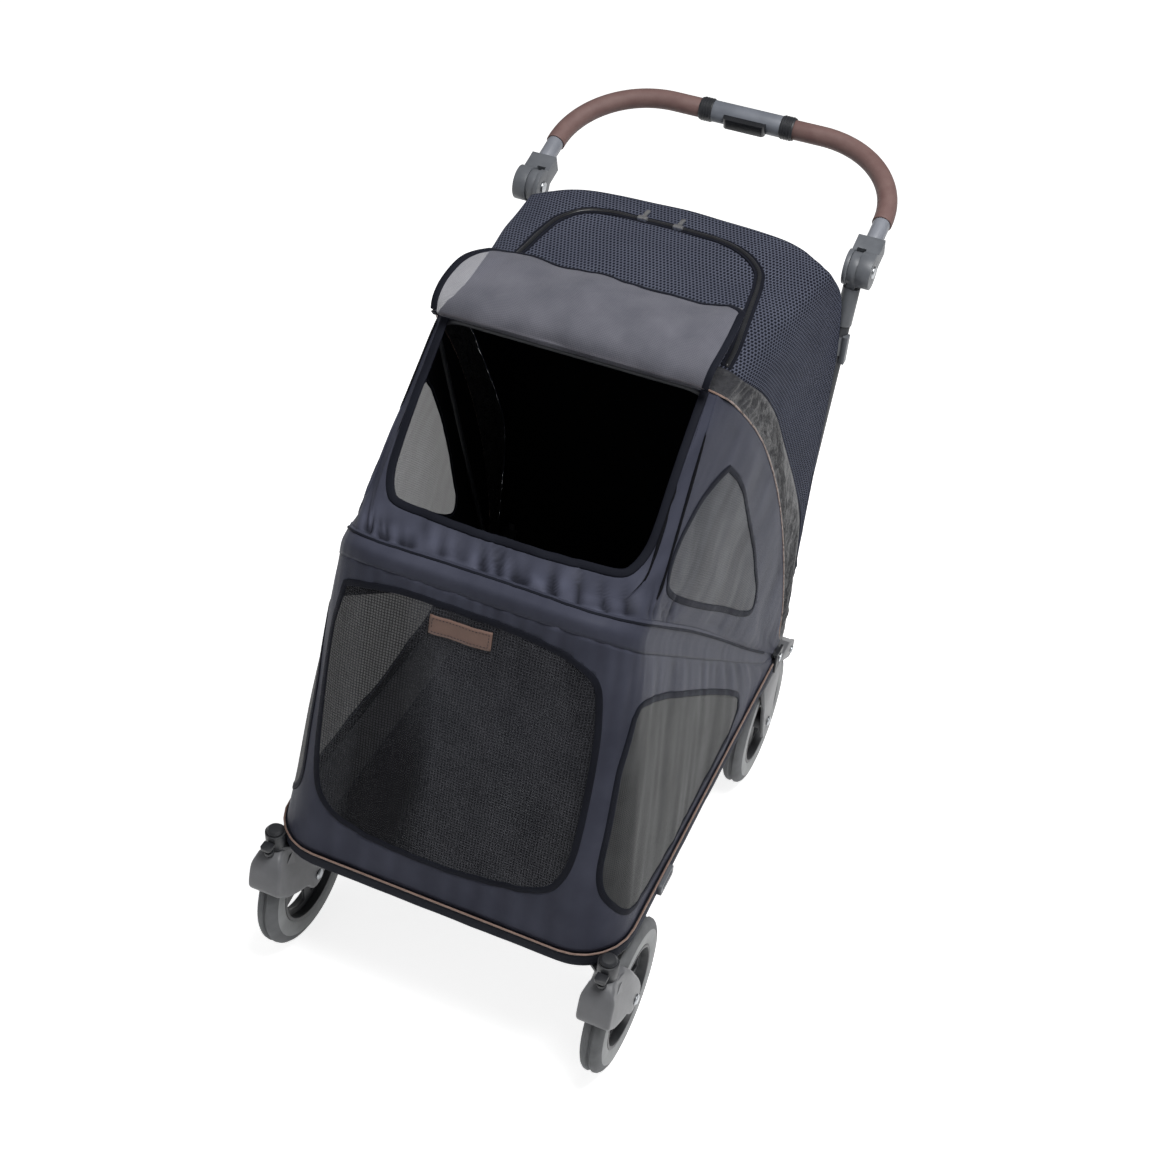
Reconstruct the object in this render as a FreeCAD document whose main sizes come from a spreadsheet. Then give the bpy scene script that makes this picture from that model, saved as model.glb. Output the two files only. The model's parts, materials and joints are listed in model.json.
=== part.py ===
"""Pet stroller with a folding frame, two swivelling front casters and a fabric cabin.

Millimetres. -Y is the front, +Z is up, and left and right are as seen from in front, so +X is right.
The origin is on the floor, under the middle of the whole stroller.
"""
import FreeCAD
import Part
import Sketcher
import os
import re
from math import cos, degrees, pi, radians, sin, tan

SIZES = (
    ("half_length", 535.5, "half of the overall length, front tyre to handle bar"),
    ("wheel_radius", 112, "all four wheels"),
    ("tyre_width", 32, ""),
    ("tyre_depth", 36, "rubber from tread to rim"),
    ("tyre_shoulder", 9, "how far the tread rounds off at each side"),
    ("rim_band", 5, "wall of the rim under the tyre"),
    ("rim_web", 5, "thickness of the spoked web"),
    ("hub_radius", 17, ""),
    ("spoke_count", 5, "openings in the web"),
    ("axle_radius", 4, ""),
    ("axle_head_radius", 8, ""),
    ("axle_head", 3.5, "thickness of a head"),
    ("running_gap", 0.05, "radial clearance of every turning fit"),
    ("front_wheel_inset", 10, "caster stem and front wheel inside the edge of the frame"),
    ("rear_wheel_inset", 22, ""),
    ("rear_wheel_y", 178.5, ""),
    ("caster_trail", 64, "stem to axle"),
    ("fork_side_gap", 2.5, "between the tyre and a fork arm"),
    ("fork_wall", 6, "thickness of a fork arm"),
    ("fork_tread_gap", 2.5, "between the tread and the crown"),
    ("crown_drop", 6, "top of the caster crown below the frame"),
    ("stem_radius", 7.5, ""),
    ("stem_cap_radius", 12, ""),
    ("bushing_wall", 2.5, ""),
    ("socket_wall", 4.5, ""),
    ("socket_gap", 0.6, "crown to socket"),
    ("lock_radius", 3, "swivel lock pin"),
    ("lock_offset", 19, "stem to lock pin"),
    ("lock_travel", 6, ""),
    ("frame_height", 236, "underside of the base frame"),
    ("rail_width", 18, ""),
    ("rail_depth", 12, ""),
    ("rail_wall", 1.6, ""),
    ("base_half_width", 260, "outside of the base frame"),
    ("frame_setback", 35, "front of the base frame behind the foremost tread"),
    ("base_rear", 208, "rear of the base frame, behind the origin"),
    ("corner_radius", 75, "front corners of the base frame"),
    ("board_thickness", 5, "tray board"),
    ("board_margin", 10, "edge of the board inside the edge of the frame"),
    ("cushion_thickness", 26, ""),
    ("cushion_inset", 54, "side of the cushion inside the edge of the frame"),
    ("cushion_end_gap", 22, "cushion inside the ends of the board"),
    ("pivot_y", 173.5, "fold axis"),
    ("pivot_rise", 22, "fold axis above the underside of the frame"),
    ("pin_radius", 4, "fold pins"),
    ("knuckle_radius", 12, ""),
    ("knuckle_inset", 32.5, "middle of the upright's knuckle inside the edge of the frame"),
    ("knuckle_width", 21, ""),
    ("bow_diameter", 7, "rods that spread the fabric"),
    ("eyelet_radius", 8, ""),
    ("eyelet_gap", 1, "between neighbouring eyelets"),
    ("rim_bow_reach", 725, "fold axis to the front of the rim bow"),
    ("rim_bow_angle", 140.26, "rim bow at rest, from straight back"),
    ("rim_bow_taper", 0.0735, "how fast its legs draw in"),
    ("rim_bow_bend", 66, ""),
    ("canopy_bow_reach", 714, ""),
    ("canopy_bow_angle", 114.8, ""),
    ("canopy_bow_taper", 0.0690, ""),
    ("canopy_bow_bend", 48, ""),
    ("upright_diameter", 22, ""),
    ("upright_wall", 1.8, ""),
    ("foot_setback", 61.5, "lower end of the upright tube behind the fold axis"),
    ("foot_rise", 34, "and above it"),
    ("cross_tube_diameter", 16, ""),
    ("cross_tube_rise", 302, "above the fold axis"),
    ("clip_rise", 511, "frame clips above the fold axis"),
    ("handle_inset", 6, "handle tube inside the edge of the frame"),
    ("joint_setback", 125, "handle joint behind the fold axis"),
    ("joint_rise", 627, "and above it"),
    ("joint_radius", 25, ""),
    ("joint_hub_width", 12, ""),
    ("joint_hub_inset", 14, ""),
    ("cheek_inner", 6.4, "inboard cheek of the yoke"),
    ("cheek_outer", 19.4, "outboard cheek of the yoke"),
    ("cheek_gap", 0.6, ""),
    ("handle_slope", 18.6, "handle at rest, above level"),
    ("handle_bend", 137, ""),
    ("handle_diameter", 25, ""),
    ("handle_wall", 1.8, ""),
    ("grip_wall", 2, ""),
    ("grip_start", 92, "joint to the end of the grip"),
    ("yoke_length", 52, ""),
    ("housing_length", 140, ""),
    ("housing_radius", 16, ""),
    ("button_length", 66, ""),
    ("button_width", 18, ""),
    ("button_stand", 6, "how far the button stands out"),
    ("button_travel", 4, ""),
    ("button_gap", 0.4, ""),
    ("cloth", 2, "thickness of the fabric walls"),
    ("cloth_inset", 3, "fabric inside the edge of the frame, at the fold axis"),
    ("cloth_lift", 0.6, "lower edge of the fabric walls above the frame"),
    ("seam_gap", 1.5, "between neighbouring fabric panels"),
    ("rim_seam_gap", 4, "hood to tray, at the rim"),
    ("rim_seam_reach", 8.5, "rim seam beyond the rim bow"),
    ("rim_corner", 70, "radius of the front corners of the rim"),
    ("rim_corner_inset", 124, "middle of those corners inside the sides"),
    ("wall_gap", 2, "rear wall to the upright tubes"),
    ("brake_setback", 83.5, "brake shaft behind the rear axles"),
    ("brake_drop", 34, "and below the frame"),
    ("brake_radius", 6, ""),
    ("shoe_gap", 2, "brake shoe to tread"),
    ("shoe_width", 26, ""),
    ("pedal_width", 90, ""),
    ("pedal_length", 58, ""),
    ("flap_thickness", 2.5, ""),
    ("flap_half_width", 186, ""),
    ("roof_rise", 659.6, "zip sliders above the fold axis"),
    ("slider_width", 9, "zip slider"),
    ("slider_length", 14, ""),
    ("slider_height", 4, ""),
)

# Sizes that follow from others, as expressions in the sheet's names.
FOLLOWING = {
    "base_front": "(half_length - frame_setback)",
    "front_wheel_x": "(base_half_width - front_wheel_inset)",
    "rear_wheel_x": "(base_half_width - rear_wheel_inset)",
    "knuckle_x": "(base_half_width - knuckle_inset)",
    "joint_hub_x": "(base_half_width - joint_hub_inset)",
    "joint_x": "(base_half_width - handle_inset)",
    "cushion_half_width": "(base_half_width - cushion_inset)",
    "cloth_half_width": "(base_half_width - cloth_inset)",
    "crown_height": "(frame_height - crown_drop)",
    "pivot_height": "(frame_height + pivot_rise)",
    "upright_foot_y": "(pivot_y + foot_setback)",
    "upright_foot_height": "(frame_height + pivot_rise + foot_rise)",
    "cross_tube_height": "(frame_height + pivot_rise + cross_tube_rise)",
    "joint_y": "(pivot_y + joint_setback)",
    "joint_height": "(frame_height + pivot_rise + joint_rise)",
    "cloth_bottom": "(frame_height + rail_depth + cloth_lift)",
    "brake_y": "(rear_wheel_y + brake_setback)",
    "brake_height": "(frame_height - brake_drop)",
}

NAMES = {alias for alias, number, note in SIZES}

doc = FreeCAD.newDocument("PetStroller")
sheet = doc.addObject("Spreadsheet::Sheet", "Sizes")
for row, (alias, number, note) in enumerate(SIZES, start=1):
    sheet.set(f"A{row}", alias)
    sheet.set(f"B{row}", str(number))
    sheet.set(f"C{row}", note)
    sheet.setAlias(f"B{row}", alias)
doc.recompute()

SIDES = (("left", -1), ("right", 1))
nodes = []


def spelled_out(expression):
    """The expression with every following size put in terms of the sheet's own."""
    return re.sub(r"[a-z_]+", lambda word: FOLLOWING.get(word[0], word[0]), expression)


def size(expression):
    """The value of an expression in the sheet's names."""
    return float(sheet.evalExpression(spelled_out(expression)))


def linked(expression):
    """The same expression as seen from outside the sheet."""
    named = spelled_out(expression)
    return re.sub(r"[a-z_]+", lambda word: f"Sizes.{word[0]}" if word[0] in NAMES else word[0], named)


def bind(item, **values):
    """Tie properties to expressions; a double underscore stands for a dot."""
    for name, expression in values.items():
        item.setExpression(name.replace("__", "."), linked(expression))


def place(item, x="0", y="0", z="0"):
    bind(item, Placement__Base__x=x, Placement__Base__y=y, Placement__Base__z=z)


def turn(item, axis, angle):
    """Turn an item about an axis through its own origin, by an expression in degrees."""
    item.Placement = FreeCAD.Placement(FreeCAD.Vector(), FreeCAD.Rotation(FreeCAD.Vector(*axis), size(angle)))
    bind(item, Placement__Rotation__Angle=angle)


def node(item, label):
    """Name a finished sub-part and list it for export."""
    item.Label = label
    nodes.append(item)
    return item


# ---- PartDesign helpers --------------------------------------------------------------------------

def new_body(name):
    return doc.addObject("PartDesign::Body", name)


def new_sketch(body, plane, offset="0"):
    sketch = body.newObject("Sketcher::SketchObject", body.Name + "_sketch")
    support = next(item for item in body.Origin.OriginFeatures if item.Role == plane)
    sketch.AttachmentSupport = [(support, "")]
    sketch.MapMode = "FlatFace"
    bind(sketch, AttachmentOffset__Base__z=offset)
    return sketch


def fix_point(sketch, curve, end, across, up):
    """Hold one point of a sketch at two expressions measured from the origin."""
    for kind, expression in (("DistanceX", across), ("DistanceY", up)):
        number = sketch.addConstraint(Sketcher.Constraint(kind, -1, 1, curve, end, size(expression)))
        sketch.setExpression(f"Constraints[{number}]", linked(expression))


def outline(body, plane, corners, offset="0"):
    """A closed outline of straight runs; every corner is a pair of expressions."""
    sketch = new_sketch(body, plane, offset)
    spots = [FreeCAD.Vector(size(across), size(up), 0) for across, up in corners]
    for start, end in zip(spots, spots[1:] + spots[:1]):
        sketch.addGeometry(Part.LineSegment(start, end), False)
    for curve in range(len(spots)):
        sketch.addConstraint(Sketcher.Constraint("Coincident", curve, 2, (curve + 1) % len(spots), 1))
    for curve, (across, up) in enumerate(corners):
        fix_point(sketch, curve, 1, across, up)
    return sketch


def rings(body, plane, circles, offset="0"):
    """Circles, each a centre and a radius given as expressions."""
    sketch = new_sketch(body, plane, offset)
    for curve, (across, up, radius) in enumerate(circles):
        centre = FreeCAD.Vector(size(across), size(up), 0)
        sketch.addGeometry(Part.Circle(centre, FreeCAD.Vector(0, 0, 1), size(radius)), False)
        number = sketch.addConstraint(Sketcher.Constraint("Radius", curve, size(radius)))
        sketch.setExpression(f"Constraints[{number}]", linked(radius))
        fix_point(sketch, curve, 3, across, up)
    return sketch


def rounded(body, plane, left, right, low, high, radii, offset="0"):
    """A rectangle with rounded corners, radii listed from the low left corner anticlockwise."""
    sketch = new_sketch(body, plane, offset)
    x0, x1, y0, y1 = size(left), size(right), size(low), size(high)
    corner = [size(radius) for radius in radii]
    points = (
        ((x0 + corner[0], y0), (x1 - corner[1], y0)),
        ((x1, y0 + corner[1]), (x1, y1 - corner[2])),
        ((x1 - corner[2], y1), (x0 + corner[3], y1)),
        ((x0, y1 - corner[3]), (x0, y0 + corner[0])),
    )
    centres = (
        (x1 - corner[1], y0 + corner[1], -pi / 2, 0, corner[1]),
        (x1 - corner[2], y1 - corner[2], 0, pi / 2, corner[2]),
        (x0 + corner[3], y1 - corner[3], pi / 2, pi, corner[3]),
        (x0 + corner[0], y0 + corner[0], pi, 3 * pi / 2, corner[0]),
    )
    for (start, end), (cx, cy, first, last, radius) in zip(points, centres):
        sketch.addGeometry(Part.LineSegment(FreeCAD.Vector(*start, 0), FreeCAD.Vector(*end, 0)), False)
        circle = Part.Circle(FreeCAD.Vector(cx, cy, 0), FreeCAD.Vector(0, 0, 1), radius)
        sketch.addGeometry(Part.ArcOfCircle(circle, first, last), False)
    for line in (0, 2, 4, 6):
        sketch.addConstraint(Sketcher.Constraint("Tangent", line, 2, line + 1, 1))
        sketch.addConstraint(Sketcher.Constraint("Tangent", line + 1, 2, (line + 2) % 8, 1))
        sketch.addConstraint(Sketcher.Constraint("Horizontal" if line in (0, 4) else "Vertical", line))
    for arc, radius in zip((1, 3, 5, 7), (radii[1], radii[2], radii[3], radii[0])):
        number = sketch.addConstraint(Sketcher.Constraint("Radius", arc, size(radius)))
        sketch.setExpression(f"Constraints[{number}]", linked(radius))
    for line, kind, expression in ((0, "DistanceY", low), (2, "DistanceX", right), (4, "DistanceY", high),
                                   (6, "DistanceX", left)):
        number = sketch.addConstraint(Sketcher.Constraint(kind, -1, 1, line, 1, size(expression)))
        sketch.setExpression(f"Constraints[{number}]", linked(expression))
    return sketch


def pad(body, profile, length, side="One side", backwards=False):
    feature = body.newObject("PartDesign::Pad", body.Name + "_pad")
    feature.Profile = (profile, [""])
    feature.SideType = side
    feature.Reversed = backwards
    bind(feature, Length=length)
    body.Tip = feature
    return feature


def pocket(body, profile, length="0", side="Symmetric", backwards=False):
    """A cut; with no length it goes right through both ways."""
    feature = body.newObject("PartDesign::Pocket", body.Name + "_pocket")
    feature.Profile = (profile, [""])
    feature.SideType = side
    feature.Reversed = backwards
    if length == "0":
        feature.Type = "ThroughAll"
    else:
        bind(feature, Length=length)
    body.Tip = feature
    return feature


def turned(name, corners, about="X"):
    """A body turned about X or Z; corners are (along the axis, out from it) pairs of expressions."""
    body = new_body(name)
    if about == "X":
        profile = outline(body, "XY_Plane", corners)
        axis = "H_Axis"
    else:
        profile = outline(body, "XZ_Plane", [(out, along) for along, out in corners])
        axis = "V_Axis"
    feature = body.newObject("PartDesign::Revolution", name + "_turned")
    feature.Profile = (profile, [""])
    feature.ReferenceAxis = (profile, [axis])
    feature.Angle = 360
    body.Tip = feature
    return body


# ---- Part helpers --------------------------------------------------------------------------------

def box(name, x, y, z, length, width, height):
    item = doc.addObject("Part::Box", name)
    bind(item, Length=length, Width=width, Height=height)
    place(item, x, y, z)
    return item


def cylinder(name, radius, height, x="0", y="0", z="0", along="Z"):
    item = doc.addObject("Part::Cylinder", name)
    bind(item, Radius=radius, Height=height)
    if along == "X":
        item.Placement = FreeCAD.Placement(FreeCAD.Vector(), FreeCAD.Rotation(FreeCAD.Vector(0, 1, 0), 90))
    place(item, x, y, z)
    return item


def cut(name, base, tool):
    item = doc.addObject("Part::Cut", name)
    item.Base = base
    item.Tool = tool
    return item


def fuse(name, *pieces):
    item = doc.addObject("Part::MultiFuse", name)
    item.Shapes = list(pieces)
    return item


def group(name, *pieces):
    item = doc.addObject("Part::Compound", name)
    item.Links = list(pieces)
    return item


def swept(name, points, bends, radius):
    """A round rod through points, with a bend of a given radius at each inner one."""
    spots = [FreeCAD.Vector(*point) for point in points]
    pieces = []
    start = spots[0]

    def straight(end):
        rod = doc.addObject("Part::Cylinder", name + "_run")
        rod.Height = (end - start).Length
        bind(rod, Radius=radius)
        rod.Placement = FreeCAD.Placement(start, FreeCAD.Rotation(FreeCAD.Vector(0, 0, 1), end - start))
        pieces.append(rod)

    for before, corner, after, bend in zip(spots, spots[1:], spots[2:], bends):
        inward = (corner - before).normalize()
        outward = (after - corner).normalize()
        half = inward.getAngle(outward) / 2
        straight(corner - inward * bend * tan(half))
        centre = corner + (outward - inward).normalize() * (bend / cos(half))
        out = (corner - inward * bend * tan(half) - centre).normalize()
        elbow = doc.addObject("Part::Torus", name + "_elbow")
        elbow.Radius1 = bend
        bind(elbow, Radius2=radius)
        elbow.Angle3 = degrees(2 * half)
        elbow.Placement = FreeCAD.Placement(
            centre, FreeCAD.Rotation(out, inward, inward.cross(outward).normalize(), "ZXY")
        )
        pieces.append(elbow)
        start = corner + outward * bend * tan(half)
    straight(spots[-1])
    return fuse(name, *pieces)


def tube(name, points, bends, diameter, wall):
    outer = swept(name + "_outer", points, bends, f"{diameter} / 2")
    inner = swept(name + "_inner", points, bends, f"{diameter} / 2 - {wall}")
    return cut(name, outer, inner)


def cloth(label, grid, gaps=(), thickness="cloth"):
    """A closed fabric wall on a grid of outer points, with the cells in gaps left open."""
    thickness = size(thickness)
    rows, columns = len(grid), len(grid[0])
    outer = [[FreeCAD.Vector(*point) for point in line] for line in grid]
    cells = {(r, c) for r in range(rows - 1) for c in range(columns - 1)} - set(gaps)
    inner = []
    for r in range(rows):
        inner.append([])
        for c in range(columns):
            along = outer[r][min(c + 1, columns - 1)] - outer[r][max(c - 1, 0)]
            across = outer[min(r + 1, rows - 1)][c] - outer[max(r - 1, 0)][c]
            inner[r].append(outer[r][c] - along.cross(across).normalize() * thickness)
    faces = []

    def quad(a, b, c, d):
        for corners in ((a, b, c), (a, c, d)):
            if (corners[1] - corners[0]).cross(corners[2] - corners[0]).Length > 1e-6:
                faces.append(Part.Face(Part.makePolygon([*corners, corners[0]])))

    for r, c in cells:
        quad(outer[r][c], outer[r][c + 1], outer[r + 1][c + 1], outer[r + 1][c])
        quad(inner[r][c], inner[r + 1][c], inner[r + 1][c + 1], inner[r][c + 1])
        for (dr, dc), (one, two) in {
            (-1, 0): ((r, c), (r, c + 1)), (1, 0): ((r + 1, c + 1), (r + 1, c)),
            (0, -1): ((r + 1, c), (r, c)), (0, 1): ((r, c + 1), (r + 1, c + 1)),
        }.items():
            if (r + dr, c + dc) not in cells:
                quad(outer[one[0]][one[1]], inner[one[0]][one[1]], inner[two[0]][two[1]], outer[two[0]][two[1]])
    shell = Part.Shell(faces)
    shell.sewShape()
    solid = Part.Solid(shell)
    if solid.Volume < 0:
        solid.reverse()
    item = doc.addObject("Part::Feature", label)
    item.Shape = solid
    return node(item, label)


# ---- wheels --------------------------------------------------------------------------------------

RIM_RADIUS = "(wheel_radius - tyre_depth)"
INNER_RIM = "(wheel_radius - tyre_depth - rim_band)"


def make_wheel(name, x, y):
    """A foam tyre on a spoked rim, both turned about the axle."""
    half = "tyre_width / 2"
    tread = "wheel_radius"
    tyre = turned("tyre_" + name, (
        (f"-{half}", RIM_RADIUS), (half, RIM_RADIUS), (half, f"{tread} - tyre_shoulder"),
        (f"{half} - tyre_shoulder / 3", f"{tread} - tyre_shoulder / 3"), (f"{half} - tyre_shoulder", tread),
        (f"tyre_shoulder - {half}", tread), (f"tyre_shoulder / 3 - {half}", f"{tread} - tyre_shoulder / 3"),
        (f"-{half}", f"{tread} - tyre_shoulder"),
    ))
    place(tyre, x, y, "wheel_radius")
    node(tyre, "tyre_" + name)
    band = f"({half} - 1)"
    bore = "axle_radius + running_gap"
    rim = turned("rim_" + name, (
        (f"-{half}", bore), (half, bore), (half, "hub_radius"), ("rim_web / 2", "hub_radius"),
        ("rim_web / 2", INNER_RIM), (band, INNER_RIM), (band, RIM_RADIUS), (f"-{band}", RIM_RADIUS),
        (f"-{band}", INNER_RIM), ("-rim_web / 2", INNER_RIM), ("-rim_web / 2", "hub_radius"),
        (f"-{half}", "hub_radius"),
    ))
    low = "hub_radius + 6"
    high = f"{INNER_RIM} - 8"
    window = outline(rim, "YZ_Plane", (
        ("-5", low), ("5", low), (f"({high}) * 0.46", f"({high}) * 0.86"), ("12", high), ("-12", high),
        (f"-({high}) * 0.46", f"({high}) * 0.86"),
    ))
    opening = pocket(rim, window)
    spokes = rim.newObject("PartDesign::PolarPattern", "spokes_" + name)
    spokes.Originals = [opening]
    spokes.Axis = (window, ["N_Axis"])
    spokes.Angle = 360
    bind(spokes, Occurrences="spoke_count")
    rim.Tip = spokes
    place(rim, x, y, "wheel_radius")
    node(rim, "rim_" + name)


def make_axle(name, x, y, arms):
    """A bolt through a wheel, with a head against each fork arm."""
    axle = turned(name, (
        (f"-({arms}) - axle_head", "0"), (f"{arms} + axle_head", "0"), (f"{arms} + axle_head", "axle_head_radius * 0.7"),
        (f"{arms} + axle_head / 2", "axle_head_radius"), (arms, "axle_head_radius"), (arms, "axle_radius"),
        (f"-({arms})", "axle_radius"), (f"-({arms})", "axle_head_radius"),
        (f"-({arms}) - axle_head / 2", "axle_head_radius"), (f"-({arms}) - axle_head", "axle_head_radius * 0.7"),
    ))
    place(axle, x, y, "wheel_radius")
    return axle


FRONT_Y = "(wheel_radius - half_length)"
STEM_Y = "(wheel_radius - half_length - caster_trail)"
ARM_FACE = "tyre_width / 2 + fork_side_gap + fork_wall"
CROWN = "(crown_height - wheel_radius)"


def make_fork(body, sides):
    """Two cheeks and a crown around a wheel, drawn in the plane of the wheel about its axle."""
    for corners in sides:
        pad(body, outline(body, "YZ_Plane", corners), f"2 * ({ARM_FACE})", "Symmetric")
    well = rings(body, "YZ_Plane", (("0", "0", "wheel_radius + fork_tread_gap"),))
    pocket(body, well, "tyre_width + 2 * fork_side_gap")
    pocket(body, rings(body, "YZ_Plane", (("0", "0", "axle_radius"),)))


def make_caster(side, sign):
    x = f"{sign} * front_wheel_x"
    fork = new_body("caster_fork_" + side)
    make_fork(fork, ((
        ("-104", "60"), ("-104", "80"), ("-caster_trail - lock_offset - 8", CROWN), ("-8", CROWN), ("6", "60"),
        ("22", "4"), ("16", "-20"), ("-8", "-36"), ("-28", "-30"), ("-52", "4"),
    ),))
    stem_hole = rings(fork, "XY_Plane", (("0", "-caster_trail", "stem_radius"),), CROWN)
    pocket(fork, stem_hole, "20", "One side")
    for way in ("-", "+"):
        lock_hole = rings(fork, "XY_Plane", (("0", f"-caster_trail {way} lock_offset", "lock_radius + 0.4"),), CROWN)
        pocket(fork, lock_hole, "lock_travel + 2", "One side")
    place(fork, x, FRONT_Y, "wheel_radius")
    node(fork, "caster_fork_" + side)

    top = "frame_height + 22"
    stem = turned("caster_stem_" + side, (
        ("crown_height - 20", "0"), (f"{top} + 6", "0"), (f"{top} + 6", "stem_cap_radius - 3"),
        (f"{top} + 3", "stem_cap_radius"), (f"{top} + 0.6", "stem_cap_radius"), (f"{top} + 0.6", "stem_radius"),
        ("crown_height - 20", "stem_radius"),
    ), "Z")
    place(stem, x, STEM_Y)
    node(stem, "caster_stem_" + side)
    node(make_axle("front_axle_" + side, x, FRONT_Y, ARM_FACE), "front_axle_" + side)
    make_wheel("front_" + side, x, FRONT_Y)

    socket = new_body("caster_socket_" + side)
    bore = "stem_radius + running_gap + bushing_wall"
    low = "crown_height + socket_gap"
    bracket = outline(socket, "XY_Plane", (
        (f"{sign} * 9", "9.4"), (f"-{sign} * 9", "-9.4"), (f"-{sign} * 46", "18"), (f"-{sign} * 20", "45"),
    ), low)
    pad(socket, bracket, "frame_height - crown_height - socket_gap")
    pad(socket, rings(socket, "XY_Plane", (("0", "0", f"{bore} + socket_wall"),), low), f"{top} - ({low})")
    guide = rings(socket, "XY_Plane", (("0", "-lock_offset", "lock_radius + 4"),), low)
    pad(socket, guide, "frame_height - crown_height - socket_gap")
    pocket(socket, rings(socket, "XY_Plane", (("0", "0", bore),)))
    pocket(socket, rings(socket, "XY_Plane", (("0", "-lock_offset", "lock_radius + running_gap"),)))
    place(socket, x, STEM_Y)
    node(socket, "caster_socket_" + side)

    lock = new_body("swivel_lock_" + side)
    pad(lock, rings(lock, "XY_Plane", (("0", "0", "lock_radius"),), "crown_height + 1"), "15")
    tab = rounded(lock, "XY_Plane", "-8", "8", "-11", "lock_radius + 0.5", ("4", "4", "1", "1"), "crown_height + 15")
    pad(lock, tab, "5")
    place(lock, x, f"{STEM_Y} - lock_offset")
    node(lock, "swivel_lock_" + side)


def make_bushings():
    pieces = []
    low = "crown_height + socket_gap"
    for side, sign in SIDES:
        bushing = turned("caster_bushing_" + side, (
            (low, "stem_radius + running_gap"), ("frame_height + 22", "stem_radius + running_gap"),
            ("frame_height + 22", "stem_radius + running_gap + bushing_wall"),
            (low, "stem_radius + running_gap + bushing_wall"),
        ), "Z")
        place(bushing, f"{sign} * front_wheel_x", STEM_Y)
        pieces.append(bushing)
    node(group("bushings", *pieces), "caster_bushings")


def make_rear_fork(side, sign):
    fork = new_body("rear_fork_" + side)
    top = "frame_height - wheel_radius"
    bar = ("brake_y - rear_wheel_y", "brake_height - wheel_radius")
    make_fork(fork, (
        (("-66", top), ("26", top), ("22", "55"), ("19", "-8"), ("8", "-30"), ("-10", "-32"), ("-22", "-8"),
         ("-38", "55")),
        (("10", top), ("60", top), (f"{bar[0]} + 14", f"{bar[1]} + 10"), (f"{bar[0]} + 12", f"{bar[1]} - 9"),
         (f"{bar[0]} - 6", f"{bar[1]} - 11"), ("30", f"{top} - 16")),
    ))
    shoe_room = outline(fork, "YZ_Plane", (
        (f"{bar[0]} - 30", f"{bar[1]} - 40"), (f"{bar[0]} + 30", f"{bar[1]} - 40"),
        (f"{bar[0]} + 30", f"{bar[1]} + 14"), (f"{bar[0]} - 30", f"{bar[1]} + 14"),
    ))
    pocket(fork, shoe_room, "tyre_width + 2 * fork_side_gap")
    pocket(fork, rings(fork, "YZ_Plane", ((*bar, "brake_radius + running_gap"),)))
    place(fork, f"{sign} * rear_wheel_x", "rear_wheel_y", "wheel_radius")
    node(fork, "rear_fork_" + side)
    make_wheel("rear_" + side, f"{sign} * rear_wheel_x", "rear_wheel_y")


def make_brake():
    """A shaft across both wheels that carries a shoe at each end, and its foot pedal."""
    half = f"rear_wheel_x + {ARM_FACE} + 2"
    shaft = new_body("brake_shaft")
    pad(shaft, rings(shaft, "YZ_Plane", (("0", "0", "brake_radius"),)), f"2 * ({half})", "Symmetric")
    reach = "sqrt((brake_y - rear_wheel_y) ^ 2 + (brake_height - wheel_radius) ^ 2)"
    to_hub = (f"(rear_wheel_y - brake_y) / {reach}", f"(wheel_radius - brake_height) / {reach}")
    corners = []
    for inward, aside in (("-3", "1"), ("-3", "5"), ("0", "11"), (f"{reach} - wheel_radius - shoe_gap", "11"),
                          (f"{reach} - wheel_radius - shoe_gap", "1")):
        corners.append((f"({inward}) * {to_hub[0]} - {aside} * {to_hub[1]}",
                        f"({inward}) * {to_hub[1]} + {aside} * {to_hub[0]}"))
    for side, sign in SIDES:
        pad(shaft, outline(shaft, "YZ_Plane", corners, f"{sign} * rear_wheel_x"), "shoe_width", "Symmetric")
    place(shaft, "0", "brake_y", "brake_height")
    node(shaft, "brake_shaft")

    pedal = new_body("brake_pedal")
    tread = rounded(pedal, "XY_Plane", "-pedal_width / 2", "pedal_width / 2", "0", "pedal_length",
                    ("2", "2", "16", "16"), "-4")
    pad(pedal, tread, "8")
    collar = rings(pedal, "YZ_Plane", (("0", "0", "brake_radius + 5"),))
    pad(pedal, collar, "pedal_width", "Symmetric")
    pocket(pedal, rings(pedal, "YZ_Plane", (("0", "0", "brake_radius"),)))
    place(pedal, "0", "brake_y", "brake_height")
    node(pedal, "brake_pedal")


# ---- base frame ----------------------------------------------------------------------------------

STRAIGHT_FRONT = "(corner_radius - base_front)"


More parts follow.
